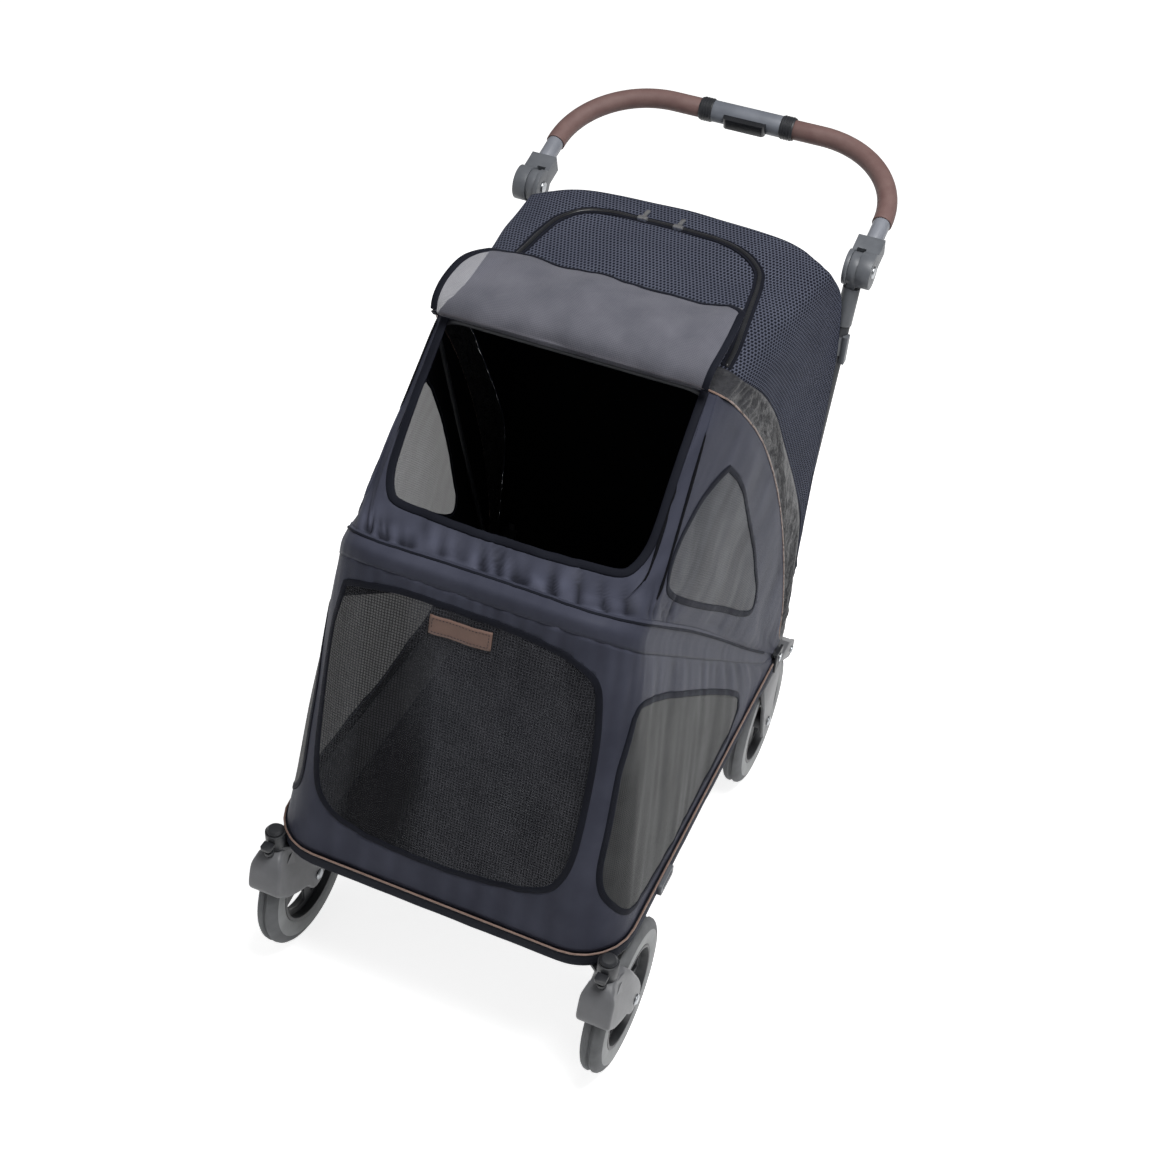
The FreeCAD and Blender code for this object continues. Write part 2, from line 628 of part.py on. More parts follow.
def make_base_frame():
    bar = new_body("front_crossbar")
    inner = "base_half_width - rail_width"
    wide = rounded(bar, "XY_Plane", "-base_half_width", "base_half_width", "-base_front", "base_rear",
                   ("corner_radius", "corner_radius", "20", "20"))
    pad(bar, wide, "rail_depth")
    hole = rounded(bar, "XY_Plane", f"-({inner})", inner, "rail_width - base_front", "base_rear - rail_width",
                   ("corner_radius - rail_width", "corner_radius - rail_width", "10", "10"))
    pocket(bar, hole)
    behind = outline(bar, "XY_Plane", (
        ("-2 * base_half_width", STRAIGHT_FRONT), ("2 * base_half_width", STRAIGHT_FRONT),
        ("2 * base_half_width", "2 * base_rear"), ("-2 * base_half_width", "2 * base_rear"),
    ))
    pocket(bar, behind)
    place(bar, "0", "0", "frame_height")
    node(bar, "front_crossbar")

    rails = []
    for side, sign in SIDES:
        low = inner if sign > 0 else "-base_half_width"
        outer = box("rail_" + side, low, STRAIGHT_FRONT, "frame_height", "rail_width",
                    f"base_rear - {STRAIGHT_FRONT}", "rail_depth")
        hollow = box("rail_hollow_" + side, f"{low} + rail_wall", STRAIGHT_FRONT, "frame_height + rail_wall",
                     "rail_width - 2 * rail_wall", f"base_rear - {STRAIGHT_FRONT}", "rail_depth - 2 * rail_wall")
        rails.append(cut("side_rail_" + side, outer, hollow))
    node(group("rails", *rails), "side_rails")
    cross = box("crossbar", f"-({inner})", "base_rear - rail_width", "frame_height", f"2 * ({inner})",
                "rail_width", "rail_depth")
    hollow = box("crossbar_hollow", f"-({inner})", "base_rear - rail_width + rail_wall",
                 "frame_height + rail_wall", f"2 * ({inner})", "rail_width - 2 * rail_wall",
                 "rail_depth - 2 * rail_wall")
    node(cut("rear_crossbar_tube", cross, hollow), "rear_crossbar")

    top = "frame_height + rail_depth"
    edge = "base_half_width - board_margin"
    board = new_body("tray_board")
    plan = rounded(board, "XY_Plane", f"-({edge})", edge, "board_margin - base_front",
                   "pivot_y - 50", ("corner_radius - board_margin", "corner_radius - board_margin", "12", "12"), top)
    pad(board, plan, "board_thickness")
    tongue = outline(board, "XY_Plane", (
        ("2 - cushion_half_width", "0"), ("cushion_half_width - 2", "0"), ("cushion_half_width - 2", "base_rear - 3"),
        ("2 - cushion_half_width", "base_rear - 3"),
    ), top)
    pad(board, tongue, "board_thickness")
    node(board, "tray_board")
    cushion = new_body("floor_cushion")
    plan = rounded(cushion, "XY_Plane", "-cushion_half_width", "cushion_half_width",
                   "board_margin + cushion_end_gap - base_front", "base_rear - 3 - board_margin",
                   ("corner_radius * 0.7", "corner_radius * 0.7", "30", "30"),
                   f"{top} + board_thickness + 0.3")
    pad(cushion, plan, "cushion_thickness")
    node(cushion, "floor_cushion")


def make_fold_brackets():
    """An inner bracket with a foot on each rail and a plate outside it, both bored for the fold pin."""
    inner_face = "knuckle_x - knuckle_width / 2 - eyelet_gap"
    near, far = "pivot_y - 15.5", "31"
    top = "pivot_height + 14"
    rail = "base_half_width - rail_width"
    plates, pins = [], []
    for side, sign in SIDES:
        def across(low, width):
            return low if sign > 0 else f"-({low}) - ({width})"
        wall = box("bracket_wall_" + side, across(f"{inner_face} - 5", "5"), near, "frame_height", "5", far,
                   f"{top} - frame_height")
        foot_width = f"{rail} - ({inner_face}) + 5"
        foot = box("bracket_foot_" + side, across(f"{inner_face} - 5", foot_width), near, "frame_height",
                   foot_width, far, "pivot_height - knuckle_radius - 2.5 - frame_height")
        outer = box("bracket_plate_" + side, across("base_half_width", "4"), near, "frame_height", "4", far,
                    f"{top} - frame_height")
        start = f"{inner_face} - 7"
        length = f"base_half_width + 6 - ({start})"
        bore = cylinder("bracket_bore_" + side, "pin_radius", length, across(start, length), "pivot_y",
                        "pivot_height", "X")
        plates.append(cut("fold_bracket_" + side, group("bracket_" + side, fuse("inner_" + side, wall, foot), outer),
                          bore))
        shank = cylinder("fold_pin_shank_" + side, "pin_radius", length, across(start, length), "pivot_y",
                         "pivot_height", "X")
        head_inner = cylinder("fold_pin_head_in_" + side, "pin_radius + 3", "2",
                              across(start, "2"), "pivot_y", "pivot_height", "X")
        head_outer = cylinder("fold_pin_head_out_" + side, "pin_radius + 3", "2",
                              across("base_half_width + 4", "2"), "pivot_y", "pivot_height", "X")
        pins.append(fuse("fold_pin_" + side, shank, head_inner, head_outer))
    node(group("brackets", *plates), "fold_brackets")
    node(group("pins", *pins), "fold_pins")


def make_strap_buckle():
    """A moulded loop on the right-hand rail that catches the folded frame."""
    buckle = new_body("strap_buckle")
    face = rounded(buckle, "YZ_Plane", "-24", "24", "-9", "11", ("6", "6", "6", "6"))
    pad(buckle, face, "7")
    slot = rounded(buckle, "YZ_Plane", "-17", "17", "-1", "6", ("2", "2", "2", "2"))
    pocket(buckle, slot)
    place(buckle, "base_half_width", "-318", "frame_height + 9")
    node(buckle, "strap_buckle")


# ---- rods that spread the fabric -----------------------------------------------------------------

def folding_point(x, angle, reach):
    """A point at a distance from the fold axis, at an angle up from straight back."""
    return (x, size("pivot_y") + reach * cos(radians(angle)), size("pivot_height") + reach * sin(radians(angle)))


def make_bow(name, eye_x, angle, reach, taper, bend):
    width = size(eye_x)
    tip = width - size(taper) * size(reach)
    start = width - size(taper) * 6
    lean = size(angle)
    rod = swept(name + "_rod", (
        folding_point(-start, lean, 6), folding_point(-tip, lean, size(reach)),
        folding_point(tip, lean, size(reach)), folding_point(start, lean, 6),
    ), (size(bend), size(bend)), "bow_diameter / 2")
    pieces = [rod]
    for side, sign in SIDES:
        pieces.append(cylinder(f"{name}_eyelet_{side}", "eyelet_radius", "bow_diameter",
                               f"{sign} * {eye_x} - bow_diameter / 2", "pivot_y", "pivot_height", "X"))
    bore = cylinder(name + "_bore", "pin_radius + running_gap", "2 * base_half_width", "-base_half_width",
                    "pivot_y", "pivot_height", "X")
    node(cut(name + "_bored", fuse(name + "_solid", *pieces), bore), name)


# ---- uprights and handle -------------------------------------------------------------------------

TUBE_TOP = (size("joint_hub_x"), size("joint_y") - 3.7, size("joint_height") - 35)
TUBE_FOOT = (size("knuckle_x") + 0.5, size("upright_foot_y"), size("upright_foot_height"))


def tube_point(height, sign=1):
    """The middle of an upright tube at a height."""
    share = (height - TUBE_FOOT[2]) / (TUBE_TOP[2] - TUBE_FOOT[2])
    x, y, z = (low + share * (high - low) for low, high in zip(TUBE_FOOT, TUBE_TOP))
    return (sign * x, y, z)


def along_tube(name, radius, low, high, sign):
    """A cylinder on the upright's centre line, between two heights."""
    start = FreeCAD.Vector(*tube_point(low, sign))
    heading = FreeCAD.Vector(*tube_point(high, sign)) - start
    item = doc.addObject("Part::Cylinder", name)
    item.Height = heading.Length
    bind(item, Radius=radius)
    item.Placement = FreeCAD.Placement(start, FreeCAD.Rotation(FreeCAD.Vector(0, 0, 1), heading))
    return item


def make_upright(side, sign):
    foot, top = TUBE_FOOT[2], TUBE_TOP[2]
    outer = along_tube("upright_outer_" + side, "upright_diameter / 2", foot, top, sign)
    inner = along_tube("upright_inner_" + side, "upright_diameter / 2 - upright_wall", foot, top, sign)
    node(cut("upright_" + side, outer, inner), "upright_tube_" + side)

    arm = new_body("arm_" + side)
    middle = f"{sign} * knuckle_x"
    pad(arm, rings(arm, "YZ_Plane", (("0", "0", "knuckle_radius"),), middle), "knuckle_width", "Symmetric")
    shank = outline(arm, "YZ_Plane", (
        ("5.6", "-10.5"), ("upright_foot_y - pivot_y + 6", "upright_foot_height - pivot_height - 9"),
        ("upright_foot_y - pivot_y - 8", "upright_foot_height - pivot_height + 9"), ("-5.6", "10.5"),
    ), middle)
    pad(arm, shank, "knuckle_width", "Symmetric")
    place(arm, "0", "pivot_y", "pivot_height")
    socket = along_tube("arm_socket_" + side, "upright_diameter / 2 + 3", foot - 12, foot + 16, sign)
    room = along_tube("arm_room_" + side, "upright_diameter / 2", foot, foot + 60, sign)
    bore = cylinder("arm_bore_" + side, "pin_radius + running_gap", "2 * knuckle_width",
                    f"{middle} - knuckle_width", "pivot_y", "pivot_height", "X")
    fold_arm = cut("fold_arm_bored_" + side, cut("fold_arm_" + side, fuse("arm_solid_" + side, arm, socket), room), bore)

    hub = new_body("hub_" + side)
    middle = f"{sign} * joint_hub_x"
    pad(hub, rings(hub, "YZ_Plane", (("0", "0", "joint_radius - 2"),), middle), "joint_hub_width", "Symmetric")
    tang = outline(hub, "YZ_Plane", (("-13", "-36"), ("5", "-36"), ("9", "-18"), ("9", "0"), ("-9", "0"), ("-13", "-18")),
                   middle)
    pad(hub, tang, "joint_hub_width", "Symmetric")
    place(hub, "0", "joint_y", "joint_height")
    sleeve = along_tube("hub_sleeve_" + side, "upright_diameter / 2 + 1.5", top - 50, top + 7, sign)
    room = along_tube("hub_room_" + side, "upright_diameter / 2", top - 60, top, sign)
    bore = cylinder("hub_bore_" + side, "axle_radius + 1 + running_gap", "40", f"{middle} - 20", "joint_y",
                    "joint_height", "X")
    solid = fuse("hub_solid_" + side, hub, sleeve)
    node(cut("hub_bored_" + side, cut("hub_hollow_" + side, solid, room), bore), "joint_hub_" + side)
    return fold_arm


def make_cross_tube():
    x, y, z = tube_point(size("cross_tube_height"))
    half = x - size("upright_diameter") / 2
    outer = cylinder("cross_outer", "cross_tube_diameter / 2", str(2 * half), str(-half), str(y), str(z), "X")
    inner = cylinder("cross_inner", "cross_tube_diameter / 2 - 1.5", str(2 * half), str(-half), str(y), str(z), "X")
    node(cut("cross_tube", outer, inner), "upright_cross_tube")


def make_frame_clips():
    """A moulded clip round each upright that the fabric is buttoned to."""
    clips = []
    for side, sign in SIDES:
        height = size("pivot_height + clip_rise")
        ring = along_tube("clip_ring_" + side, "upright_diameter / 2 + 1.6", height - 14, height + 14, sign)
        x, y, z = tube_point(height)
        lever = box("clip_lever_" + side, str(x + 7 if sign > 0 else -x - 15), str(y - 12), str(z - 26), "8", "13", "44")
        room = along_tube("clip_room_" + side, "upright_diameter / 2", height - 60, height + 60, sign)
        clips.append(cut("clip_" + side, fuse("clip_solid_" + side, ring, lever), room))
    node(group("clips", *clips), "frame_clips")


HANDLE_REACH = "((half_length - housing_radius - joint_y) / cos(handle_slope))"


def handle_point(x, along, above=0):
    """A point in the plane of the handle, measured from its joint."""
    slope = radians(size("handle_slope"))
    return (x, size("joint_y") + along * cos(slope) - above * sin(slope),
            size("joint_height") + along * sin(slope) + above * cos(slope))


def make_handle_side(side, sign):
    middle = size("joint_x")
    reach = size(HANDLE_REACH)
    bar_end = size("housing_length") / 2 - 32
    path = (handle_point(sign * middle, 34), handle_point(sign * middle, reach), handle_point(sign * bar_end, reach))
    bend = (size("handle_bend"),)
    node(tube("handle_" + side, path, bend, "handle_diameter", "handle_wall"), "handle_tube_" + side)
    grip_end = size("housing_length") / 2 + 2
    path = (handle_point(sign * middle, size("grip_start")), path[1], handle_point(sign * grip_end, reach))
    node(tube("grip_" + side, path, bend, "(handle_diameter + 2 * grip_wall)", "grip_wall"), "handle_grip_" + side)

    yoke = new_body("yoke_" + side)
    hub = f"{sign} * joint_hub_x"
    gap = "(joint_hub_width / 2 + cheek_gap)"
    for low, width in ((f"joint_hub_x - {gap} - cheek_inner", "cheek_inner"), (f"joint_hub_x + {gap}", "cheek_outer")):
        start = f"{sign} * ({low} + ({width}) / 2)"
        pad(yoke, rings(yoke, "YZ_Plane", (("0", "0", "joint_radius"),), start), width, "Symmetric")
        cheek = outline(yoke, "YZ_Plane", (("0", "-13"), ("yoke_length", "-13"), ("yoke_length", "13"), ("0", "13")),
                        start)
        pad(yoke, cheek, width, "Symmetric")
    whole = f"2 * {gap} + cheek_inner + cheek_outer"
    block = outline(yoke, "YZ_Plane", (("27", "-13"), ("yoke_length", "-13"), ("yoke_length", "13"), ("27", "13")),
                    f"{hub} + {sign} * (cheek_outer - cheek_inner) / 2")
    pad(yoke, block, whole, "Symmetric")
    room = rings(yoke, "XZ_Plane", ((f"{sign} * joint_x", "0", "handle_diameter / 2"),), "-34")
    pocket(yoke, room, "yoke_length", "One side")
    pocket(yoke, rings(yoke, "YZ_Plane", (("0", "0", "axle_radius + 1"),)))
    turn(yoke, (1, 0, 0), "handle_slope")
    place(yoke, "0", "joint_y", "joint_height")
    node(yoke, "handle_yoke_" + side)


def make_handle_middle():
    """The housing between the grips, the button in it and the pins of the two joints."""
    across = f"joint_y + {HANDLE_REACH} * cos(handle_slope)"
    height = f"joint_height + {HANDLE_REACH} * sin(handle_slope)"
    half = "housing_length / 2"
    housing = turned("housing", (
        (f"-{half}", "0"), (half, "0"), (half, "housing_radius - 1.5"), (f"{half} - 1.5", "housing_radius"),
        (f"1.5 - {half}", "housing_radius"), (f"-{half}", "housing_radius - 1.5"),
    ))
    for side, sign in SIDES:
        room = rings(housing, "YZ_Plane", (("0", "0", "handle_diameter / 2"),), f"{sign} * ({half} + 17.5)")
        pocket(housing, room, "105", "Symmetric")
    cavity = outline(housing, "XY_Plane", (
        ("-button_length / 2 - button_gap", "-2 * housing_radius"), ("button_length / 2 + button_gap", "-2 * housing_radius"),
        ("button_length / 2 + button_gap", "3"), ("-button_length / 2 - button_gap", "3"),
    ))
    pocket(housing, cavity, "button_width + 2 * button_gap")
    turn(housing, (1, 0, 0), "handle_slope")
    place(housing, "0", across, height)
    node(housing, "handle_housing")

    button = new_body("button")
    front = "-housing_radius - button_stand"
    plan = rounded(button, "XY_Plane", "-button_length / 2", "button_length / 2", front, "-2", ("6", "6", "1", "1"))
    pad(button, plan, "button_width", "Symmetric")
    turn(button, (1, 0, 0), "handle_slope")
    place(button, "0", across, height)
    node(button, "fold_button")

    pins = []
    gap = "(joint_hub_width / 2 + cheek_gap)"
    for side, sign in SIDES:
        inner, outer = f"joint_hub_x - {gap} - cheek_inner", f"joint_hub_x + {gap} + cheek_outer"
        pin = turned("joint_pin_" + side, (
            (f"{inner} - 2", "0"), (f"{outer} + 2", "0"), (f"{outer} + 2", "8"), (outer, "9"),
            (outer, "axle_radius + 1"), (inner, "axle_radius + 1"), (inner, "9"), (f"{inner} - 2", "8"),
        ))
        if sign < 0:
            turn(pin, (0, 0, 1), "180")
        place(pin, "0", "joint_y", "joint_height")
        pins.append(pin)
    node(group("pins_of_joints", *pins), "joint_pins")


# ---- fabric --------------------------------------------------------------------------------------

def smooth(points, steps):
    """Points on a soft curve through the given ones, so many steps to each stretch."""
    ends = [tuple(2 * a - b for a, b in zip(points[0], points[1])), *points,
            tuple(2 * a - b for a, b in zip(points[-1], points[-2]))]
    path = []
    for p0, p1, p2, p3 in zip(ends, ends[1:], ends[2:], ends[3:]):
        for step in range(steps):
            t = step / steps
            path.append(tuple(
                0.5 * (2 * b + (c - a) * t + (2 * a - 5 * b + 4 * c - d) * t * t + (3 * b - a - 3 * c + d) * t ** 3)
                for a, b, c, d in zip(p0, p1, p2, p3)
            ))
    path.append(tuple(points[-1]))
    return path


def both_sides(half):
    """A line of points from the right-hand side to the middle, carried on over to the left."""
    back = [(-x, y, z) for x, y, z in reversed(half)]
    return half + (back[1:] if abs(half[-1][0]) < 1e-6 else back)


def between(first, second, shares):
    """Rows of points part of the way from one line to the other."""
    return [
        [tuple(a + share * (b - a) for a, b in zip(one, two)) for one, two in zip(first, second)]
        for share in shares
    ]


def mirrored(grid):
    return [[(-x, y, z) for x, y, z in reversed(line)] for line in grid]


def rim_point(x, along):
    """A point on the seam round the top of the tray, in the plane of the rim bow."""
    return folding_point(x, size("rim_bow_angle"), along)


RIM_LENGTH = size("rim_bow_reach + rim_seam_reach")
CORNER_ALONG = RIM_LENGTH - size("rim_corner")


def rim_side(along):
    return rim_point(size("cloth_half_width") - size("rim_bow_taper") * along, along)


def rim_corner(steps):
    """The right front corner of the seam, ending on its front run."""
    wide = size("cloth_half_width") - size("rim_bow_taper") * CORNER_ALONG
    inner = size("cloth_half_width - rim_corner_inset")
    corner = []
    for step in range(steps + 1):
        angle = radians(90 * step / steps)
        corner.append(rim_point(inner + (wide - inner) * cos(angle), CORNER_ALONG + size("rim_corner") * sin(angle)))
    return corner


def make_tray_walls():
    """Side walls from the rails up to the rim, and the front wall with its two round corners."""
    bottom = size("cloth_bottom")
    half, front = size("cloth_half_width"), size("1.5 - base_front")
    straight = size(STRAIGHT_FRONT)
    bend = straight - front
    gap = size("seam_gap")
    rear = size("pivot_y") - 23.5
    shares = [step / 8 for step in range(9)]
    low = [(half, rear + share * (straight + gap - rear), bottom) for share in shares]
    high = [rim_side(30 + share * (CORNER_ALONG - gap - 30)) for share in shares]
    right = between(high, low, (0, 0.25, 0.5, 0.75, 1))
    cloth("side_panel_right", right)
    cloth("side_panel_left", mirrored(right))
    low = []
    for step in range(9):
        angle = radians(90 * step / 8)
        low.append((half - bend + bend * cos(angle), straight - bend * sin(angle), bottom))
    high = rim_corner(8)
    low = low + [(half * share, front, bottom) for share in (0.45, 0.15)]
    high = high + [rim_point(half * share, RIM_LENGTH) for share in (0.3, 0.1)]
    cloth("front_panel", between(both_sides(high), both_sides(low), (0, 0.25, 0.5, 0.75, 1)))


HALF = size("cloth_half_width")


def cabin(points):
    """Points given as how far each is inside the cloth's half width, behind the fold axis and above it."""
    return [(HALF - inset, size("pivot_y") + back, size("pivot_height") + up) for inset, back, up in points]


CANOPY_EDGE = cabin((
    (1.5, 9, 26), (3.2, 10.5, 47), (5, 9, 102), (11, -31, 242), (19, -93, 382), (31, -173, 512),
    (49, -253, 607), (65, -290.5, 644),
))
CANOPY_TOP = cabin((
    (107, -301.5, 656), (HALF, -303, 659),
))
OPENING_SIDE = cabin((
    (78, -299.5, 650), (76, -388.5, 570), (76, -476.5, 485),
))
STRIP_EDGE = cabin((
    (4, 55, 73), (8, 54, 183), (14, 24, 288), (26, -82, 459), (31, -127.5, 527), (37, -187, 592),
    (53, -229.5, 632), (79, -241.5, 650), (147, -248.5, 658), (HALF, -248.5, 660),
))
REAR_EDGE = cabin((
    (5.5, 60.1, 137), (6.2, 64.9, 183), (7, 75.7, 288), (8, 94.1, 459), (11.5, 101.3, 527),
    (17, 100.5, 592), (24, 80.5, 639), (45, 87.5, 651), (147, 105.5, 657), (HALF, 111.5, 657),
))


def make_hood():
    """The sides of the hood, from rim to canopy bow, joined by a strip in front of the opening."""
    gap = size("rim_seam_gap")
    lean = radians(size("rim_bow_angle"))
    edge = smooth(CANOPY_EDGE, 2)
    last = len(edge) - 1
    seam = [rim_side(32 + (CORNER_ALONG - 32) * step / last) for step in range(last + 1)]
    side = between(edge, seam, (0, 0.25, 0.5, 0.75, 1))
    opening = smooth(OPENING_SIDE[:2], 2)[:2] + [OPENING_SIDE[1], OPENING_SIDE[2]]
    corner = rim_corner(6)
    rows = []
    for number, line in enumerate(side):
        line = list(line)
        for step in range(1, 7):
            share = step / 6
            target = opening[number] if number < 4 else corner[step]
            start = line[last]
            blend = tuple(a + share * (b - a) for a, b in zip(start, target))
            line.append(target if number == 4 else blend)
        x, y, z = line[-1]
        sag = (0, 0, 0, 9, 0)[number]
        drop = (0, 0, 0, -5, 0)[number]
        line += [(x * 0.66, y - sag * 0.6, z + drop * 0.6), (x * 0.33, y - sag * 0.9, z + drop * 0.9),
                 (0, y - sag, z + drop)]
        rows.append(both_sides(line))
    rows[4] = [(x, y + gap * sin(lean), z - gap * cos(lean)) for x, y, z in rows[4]]
    first = last + 6
    cloth("hood_front", rows, {(row, column) for row in range(3) for column in range(first, first + 6)})


def make_rear_cabin():
    """The gathered strip behind the canopy bow, the roof with its sides, and the rear wall."""
    edge = smooth(STRIP_EDGE, 2)
    front = smooth(CANOPY_EDGE + CANOPY_TOP, 2)
    cloth("gathered_strip", between(both_sides(edge), both_sides(front), (0.035, 0.35, 0.65, 0.965)))
    edge = smooth(cabin(((6.2, 56, 134),)) + STRIP_EDGE[1:], 2)
    cloth("roof_panel", between(both_sides(smooth(REAR_EDGE, 2)), both_sides(edge), (0, 0.3, 0.6, 0.994)))

    margin = 2 * size("cloth") - 0.5
    shares = (-1, -0.85, -0.6, -0.3, 0, 0.3, 0.6, 0.85, 1)
    rows = [[(share * (HALF - 28 - margin), size("pivot_y") + 109.5 - 29 * share * share,
              size("pivot_height") + 653 - 16 * abs(share) ** 7) for share in shares]]
    for up, inset, forward in ((622, 22, 24), (592, 17, 8), (527, 11.5, 0), (459, 8, 0), (362, 7.5, 0),
                               (288, 7, 0), (183, 6.2, 0), (137, 5.5, 0), (60, 5.5, 0), (54, 42, 0), (6, 42, 0)):
        height = size("pivot_height") + up
        across = tube_point(height)[1] - size("upright_diameter / 2 + wall_gap")
        rows.append([(share * (HALF - inset - margin), across - forward * abs(share) ** 3, height)
                     for share in shares])
    cloth("rear_panel", rows)


FLAP_PROFILE = ((-308.5, 655.5), (-311.5, 664), (-301.5, 680), (-273.5, 693), (-233.5, 702), (-198.5, 704),
                (-181.5, 697), (-178.5, 682), (-187.5, 670), (-213.5, 667), (-248.5, 666))


def make_flap():
    """The flap over the opening, rolled back on to the roof with its free edge tucked in below."""
    profile = smooth(FLAP_PROFILE, 2)
    half = size("flap_half_width")
    shares = (-1, -0.7, -0.35, 0, 0.35, 0.7, 1)
    back, up = size("pivot_y"), size("pivot_height")
    grid = [[(share * half, back + y, up + z) for share in shares] for y, z in profile]
    cloth("front_flap", grid, thickness="flap_thickness")


def make_sliders():
    """Two zip sliders on the rear run of the roof zip."""
    for side, sign in SIDES:
        slider = new_body("slider_" + side)
        shell = rounded(slider, "XY_Plane", "-slider_length / 2", "slider_length / 2", "-slider_width / 2",
                        "slider_width / 2", ("2", "2", "2", "2"))
        pad(slider, shell, "slider_height")
        pull = rounded(slider, "XY_Plane", "-3", "3", "slider_width / 2 - 2", "slider_width / 2 + 20",
                       ("1", "1", "2.6", "2.6"), "slider_height - 2")
        pad(slider, pull, "1.5")
        place(slider, str(-20.5 + sign * 26.5), "pivot_y + 48.5", "pivot_height + roof_rise")
        node(slider, "zip_slider_" + side)


# ---- the whole stroller --------------------------------------------------------------------------

for side_name, direction in SIDES:
    make_caster(side_name, direction)
    make_rear_fork(side_name, direction)
make_bushings()
rear_axles = [make_axle("rear_axle_" + side_name, f"{direction} * rear_wheel_x", "rear_wheel_y", ARM_FACE)
              for side_name, direction in SIDES]
node(group("axles_of_rear_wheels", *rear_axles), "rear_axles")
make_brake()
make_base_frame()
make_fold_brackets()
make_strap_buckle()
make_bow("rim_bow", "(knuckle_x + knuckle_width / 2 + 1.5 * bow_diameter + 2 * eyelet_gap)", "rim_bow_angle",
         "rim_bow_reach", "rim_bow_taper", "rim_bow_bend")
make_bow("canopy_bow", "(knuckle_x + knuckle_width / 2 + bow_diameter / 2 + eyelet_gap)", "canopy_bow_angle",
         "canopy_bow_reach", "canopy_bow_taper", "canopy_bow_bend")
node(group("arms_of_fold", *[make_upright(side_name, direction) for side_name, direction in SIDES]), "fold_arms")
make_cross_tube()
make_frame_clips()
for side_name, direction in SIDES:
    make_handle_side(side_name, direction)
make_handle_middle()
make_tray_walls()
make_hood()
make_rear_cabin()
make_flap()
make_sliders()

doc.recompute()
for item in doc.Objects:
    if {"Invalid", "Error"} & set(item.State):
        raise RuntimeError(f"{item.Label}: {item.State}")
os.makedirs("parts", exist_ok=True)
for item in nodes:
    if item.Shape.isNull() or not item.Shape.isValid():
        raise RuntimeError(f"{item.Label} has no valid shape")
    item.Shape.exportStep(f"parts/{item.Label}.step")
    edges = item.Shape.BoundBox
    print(f"{item.Label:22s} x {edges.XMin:8.1f} {edges.XMax:8.1f}  y {edges.YMin:8.1f} {edges.YMax:8.1f}"
          f"  z {edges.ZMin:7.1f} {edges.ZMax:7.1f}  solids {len(item.Shape.Solids)}")
print(len(nodes), "sub-parts")
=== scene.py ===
# %% [markdown]
# # A pet stroller, finished in Blender
# The stroller's frame, wheels and joints arrive as solid parts at their real size. This file gives them their
# looks: the fabric cabin, the padding, the rubber, the moulded plastic, and a material for every surface.
# All lengths are in metres, -Y is the front of the stroller and +Z is up.

# %% The frame
import json
from math import cos, pi, radians, sin

import bpy
import numpy as np
from mathutils import Matrix, Quaternion, Vector, noise
from mathutils.bvhtree import BVHTree
from mathutils.kdtree import KDTree


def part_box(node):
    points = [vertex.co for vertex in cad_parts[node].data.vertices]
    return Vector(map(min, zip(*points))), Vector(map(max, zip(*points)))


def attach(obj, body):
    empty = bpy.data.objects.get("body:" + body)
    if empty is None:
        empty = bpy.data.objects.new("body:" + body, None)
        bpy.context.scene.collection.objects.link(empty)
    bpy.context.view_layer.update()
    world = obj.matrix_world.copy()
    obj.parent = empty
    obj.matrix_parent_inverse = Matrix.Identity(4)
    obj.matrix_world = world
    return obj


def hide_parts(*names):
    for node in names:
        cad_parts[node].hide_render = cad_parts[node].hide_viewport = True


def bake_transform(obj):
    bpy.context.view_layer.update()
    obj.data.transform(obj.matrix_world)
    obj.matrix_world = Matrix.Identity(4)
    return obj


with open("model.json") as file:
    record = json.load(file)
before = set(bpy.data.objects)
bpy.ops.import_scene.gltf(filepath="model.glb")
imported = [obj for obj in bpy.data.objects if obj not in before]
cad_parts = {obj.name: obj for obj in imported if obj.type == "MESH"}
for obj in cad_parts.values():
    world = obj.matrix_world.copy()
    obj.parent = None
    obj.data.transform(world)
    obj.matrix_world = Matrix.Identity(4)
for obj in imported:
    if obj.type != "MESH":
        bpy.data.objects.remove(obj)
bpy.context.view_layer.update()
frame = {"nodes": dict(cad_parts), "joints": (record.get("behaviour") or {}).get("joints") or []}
joints = {joint["name"]: joint for joint in frame["joints"]}

# %% [markdown]
# ## Camera, floor and light
# The product is shown from in front, above and a little to the right. The floor is nearly white and takes the
# shadow. A big soft lamp above and two weaker ones at the sides leave no hard edge anywhere.

# %% Camera
CAMERA_PLACE = Vector((0.669, -1.7955, 2.049))
CAMERA_TARGET = Vector((0.030, -0.1185, 0.544))
CAMERA_ROLL = radians(4.3)
FOCAL_LENGTH = 52.6

bpy.ops.object.select_all(action="DESELECT")
bpy.ops.object.camera_add(location=CAMERA_PLACE)
camera = bpy.context.object
camera.name = "camera"
facing = (CAMERA_PLACE - CAMERA_TARGET).to_track_quat("Z", "Y")
camera.rotation_euler = (facing @ Quaternion((0, 0, 1), CAMERA_ROLL)).to_euler()
camera.data.lens = FOCAL_LENGTH
bpy.context.scene.camera = camera
bpy.context.scene.view_settings.view_transform = "Standard"
print("camera:", round((CAMERA_PLACE - CAMERA_TARGET).length, 2), "m from what it looks at")


# %% [markdown]
# ## Making a material
# Every material here is a Principled shader with a few nodes before it. Colours are written as sRGB hex values, as
# on a colour card, and turned to the linear values that the shader wants in one place. One function adds a node of
# any kind with its settings and links, so that a material reads as a short list of nodes.

